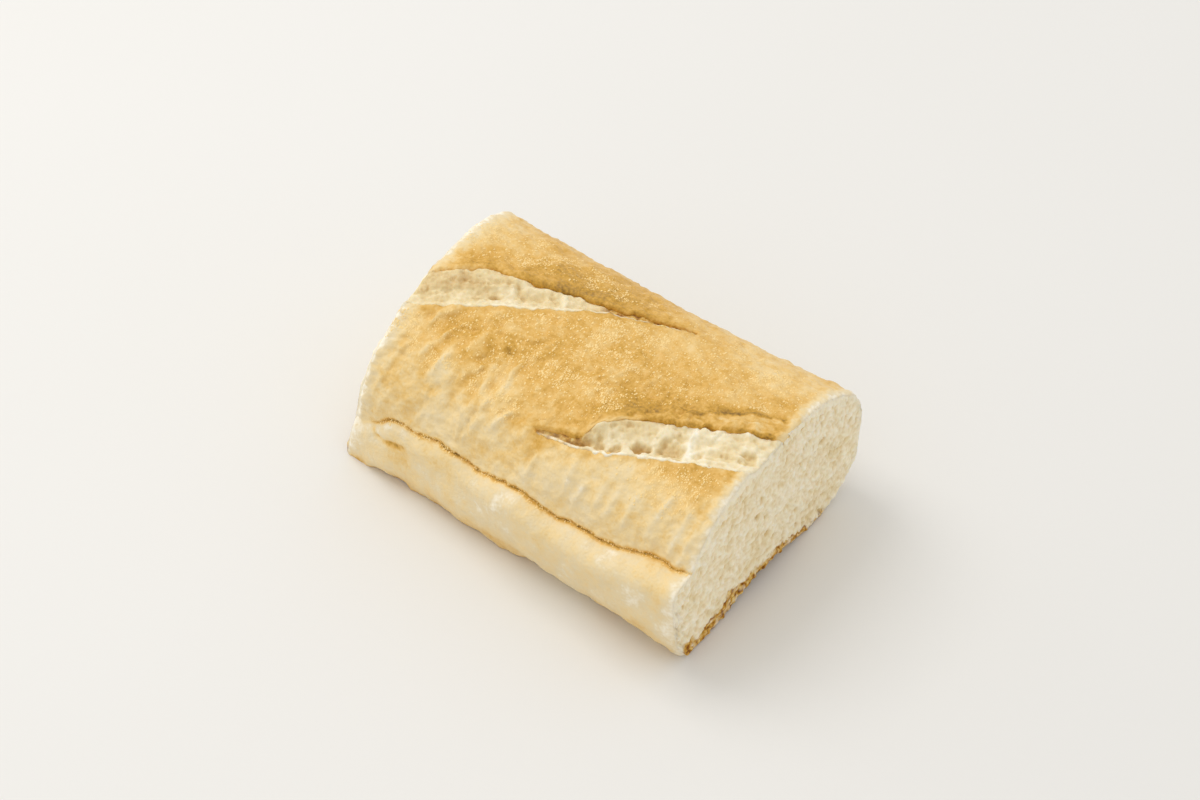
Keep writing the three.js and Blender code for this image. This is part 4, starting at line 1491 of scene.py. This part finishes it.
def pale_floor():
    """Matt pale board with the faintest cloudiness."""
    material, tree = new_material("pale_board")
    place = add_node(tree, "TexCoord").outputs["Object"]
    clouds = add_node(tree, "TexNoise", {"Scale": noise_scale(CLOUD_MM)}, {"Vector": place})
    colour = add_node(tree, "ValToRGB", {}, {"Fac": clouds}, stops=FLOOR_TONES)
    shader = add_node(tree, "BsdfPrincipled", {"Roughness": 0.6, "IOR": 1.45}, {"Base Color": colour})
    add_node(tree, "OutputMaterial", {}, {"Surface": shader})
    return material


def build_floor():
    """A flat square on the plane that the loaf rests on."""
    mesh = bpy.data.meshes.new("floor")
    corners = [(sx * FLOOR_HALF, sy * FLOOR_HALF, 0.0) for sx, sy in ((-1, -1), (1, -1), (1, 1), (-1, 1))]
    mesh.from_pydata(corners, [], [(0, 1, 2, 3)])
    mesh.materials.append(pale_floor())
    floor = bpy.data.objects.new("floor", mesh)
    bpy.context.scene.collection.objects.link(floor)


def add_soft_light(name, direction, size, power):
    """A square area light that shines on the loaf's middle from that direction."""
    light = bpy.data.lights.new(name, "AREA")
    light.size = size
    light.energy = power
    light.color = linear(LIGHT_COLOUR)[:3]
    lamp = bpy.data.objects.new(name, light)
    bpy.context.scene.collection.objects.link(lamp)
    lamp.location = LIGHT_TARGET + Vector(direction).normalized() * LIGHT_DISTANCE
    lamp.rotation_euler = (LIGHT_TARGET - lamp.location).to_track_quat("-Z", "Y").to_euler()


build_floor()
for light_name, light_values in LIGHTS.items():
    add_soft_light(light_name, **light_values)
room = bpy.data.worlds.new("pale_room")
room.use_nodes = True
room.node_tree.nodes["Background"].inputs["Color"].default_value = linear(ROOM_COLOUR)
room.node_tree.nodes["Background"].inputs["Strength"].default_value = ROOM_STRENGTH
bpy.context.scene.world = room
bpy.context.scene.view_settings.view_transform = "Standard"

# %% [markdown]
# The camera stands where the photograph's did: 45 degrees above the floor and 34 degrees round from the
# near side towards the square cut. It has a long lens and is turned a little about its own axis.

# %% Camera
CAMERA_PLACE = np.array([314.2, -456.3, 582.9])
CAMERA_TARGET = np.array([-10.8, 20.2, 6.1])
CAMERA_ROLL = 0.0507
LENS_MM = 90.0
SENSOR_MM = 36.0


def build_camera():
    """A camera that looks from its place at its target, with its right and up turned by the roll."""
    camera = bpy.data.cameras.new("camera")
    camera.lens = LENS_MM
    camera.sensor_width = SENSOR_MM
    place = Vector((CAMERA_PLACE + TO_FRAME) * MM)
    ahead = (Vector((CAMERA_TARGET + TO_FRAME) * MM) - place).normalized()
    right = ahead.cross(Vector((0, 0, 1))).normalized()
    up = right.cross(ahead)
    turned_right = np.cos(CAMERA_ROLL) * right + np.sin(CAMERA_ROLL) * up
    turned_up = np.cos(CAMERA_ROLL) * up - np.sin(CAMERA_ROLL) * right
    turn = Matrix((turned_right, turned_up, -ahead)).transposed().to_4x4()
    holder = bpy.data.objects.new("camera", camera)
    holder.matrix_world = Matrix.Translation(place) @ turn
    bpy.context.scene.collection.objects.link(holder)
    bpy.context.scene.camera = holder


build_camera()
print("camera at, m:", [round(part, 3) for part in bpy.context.scene.camera.location])
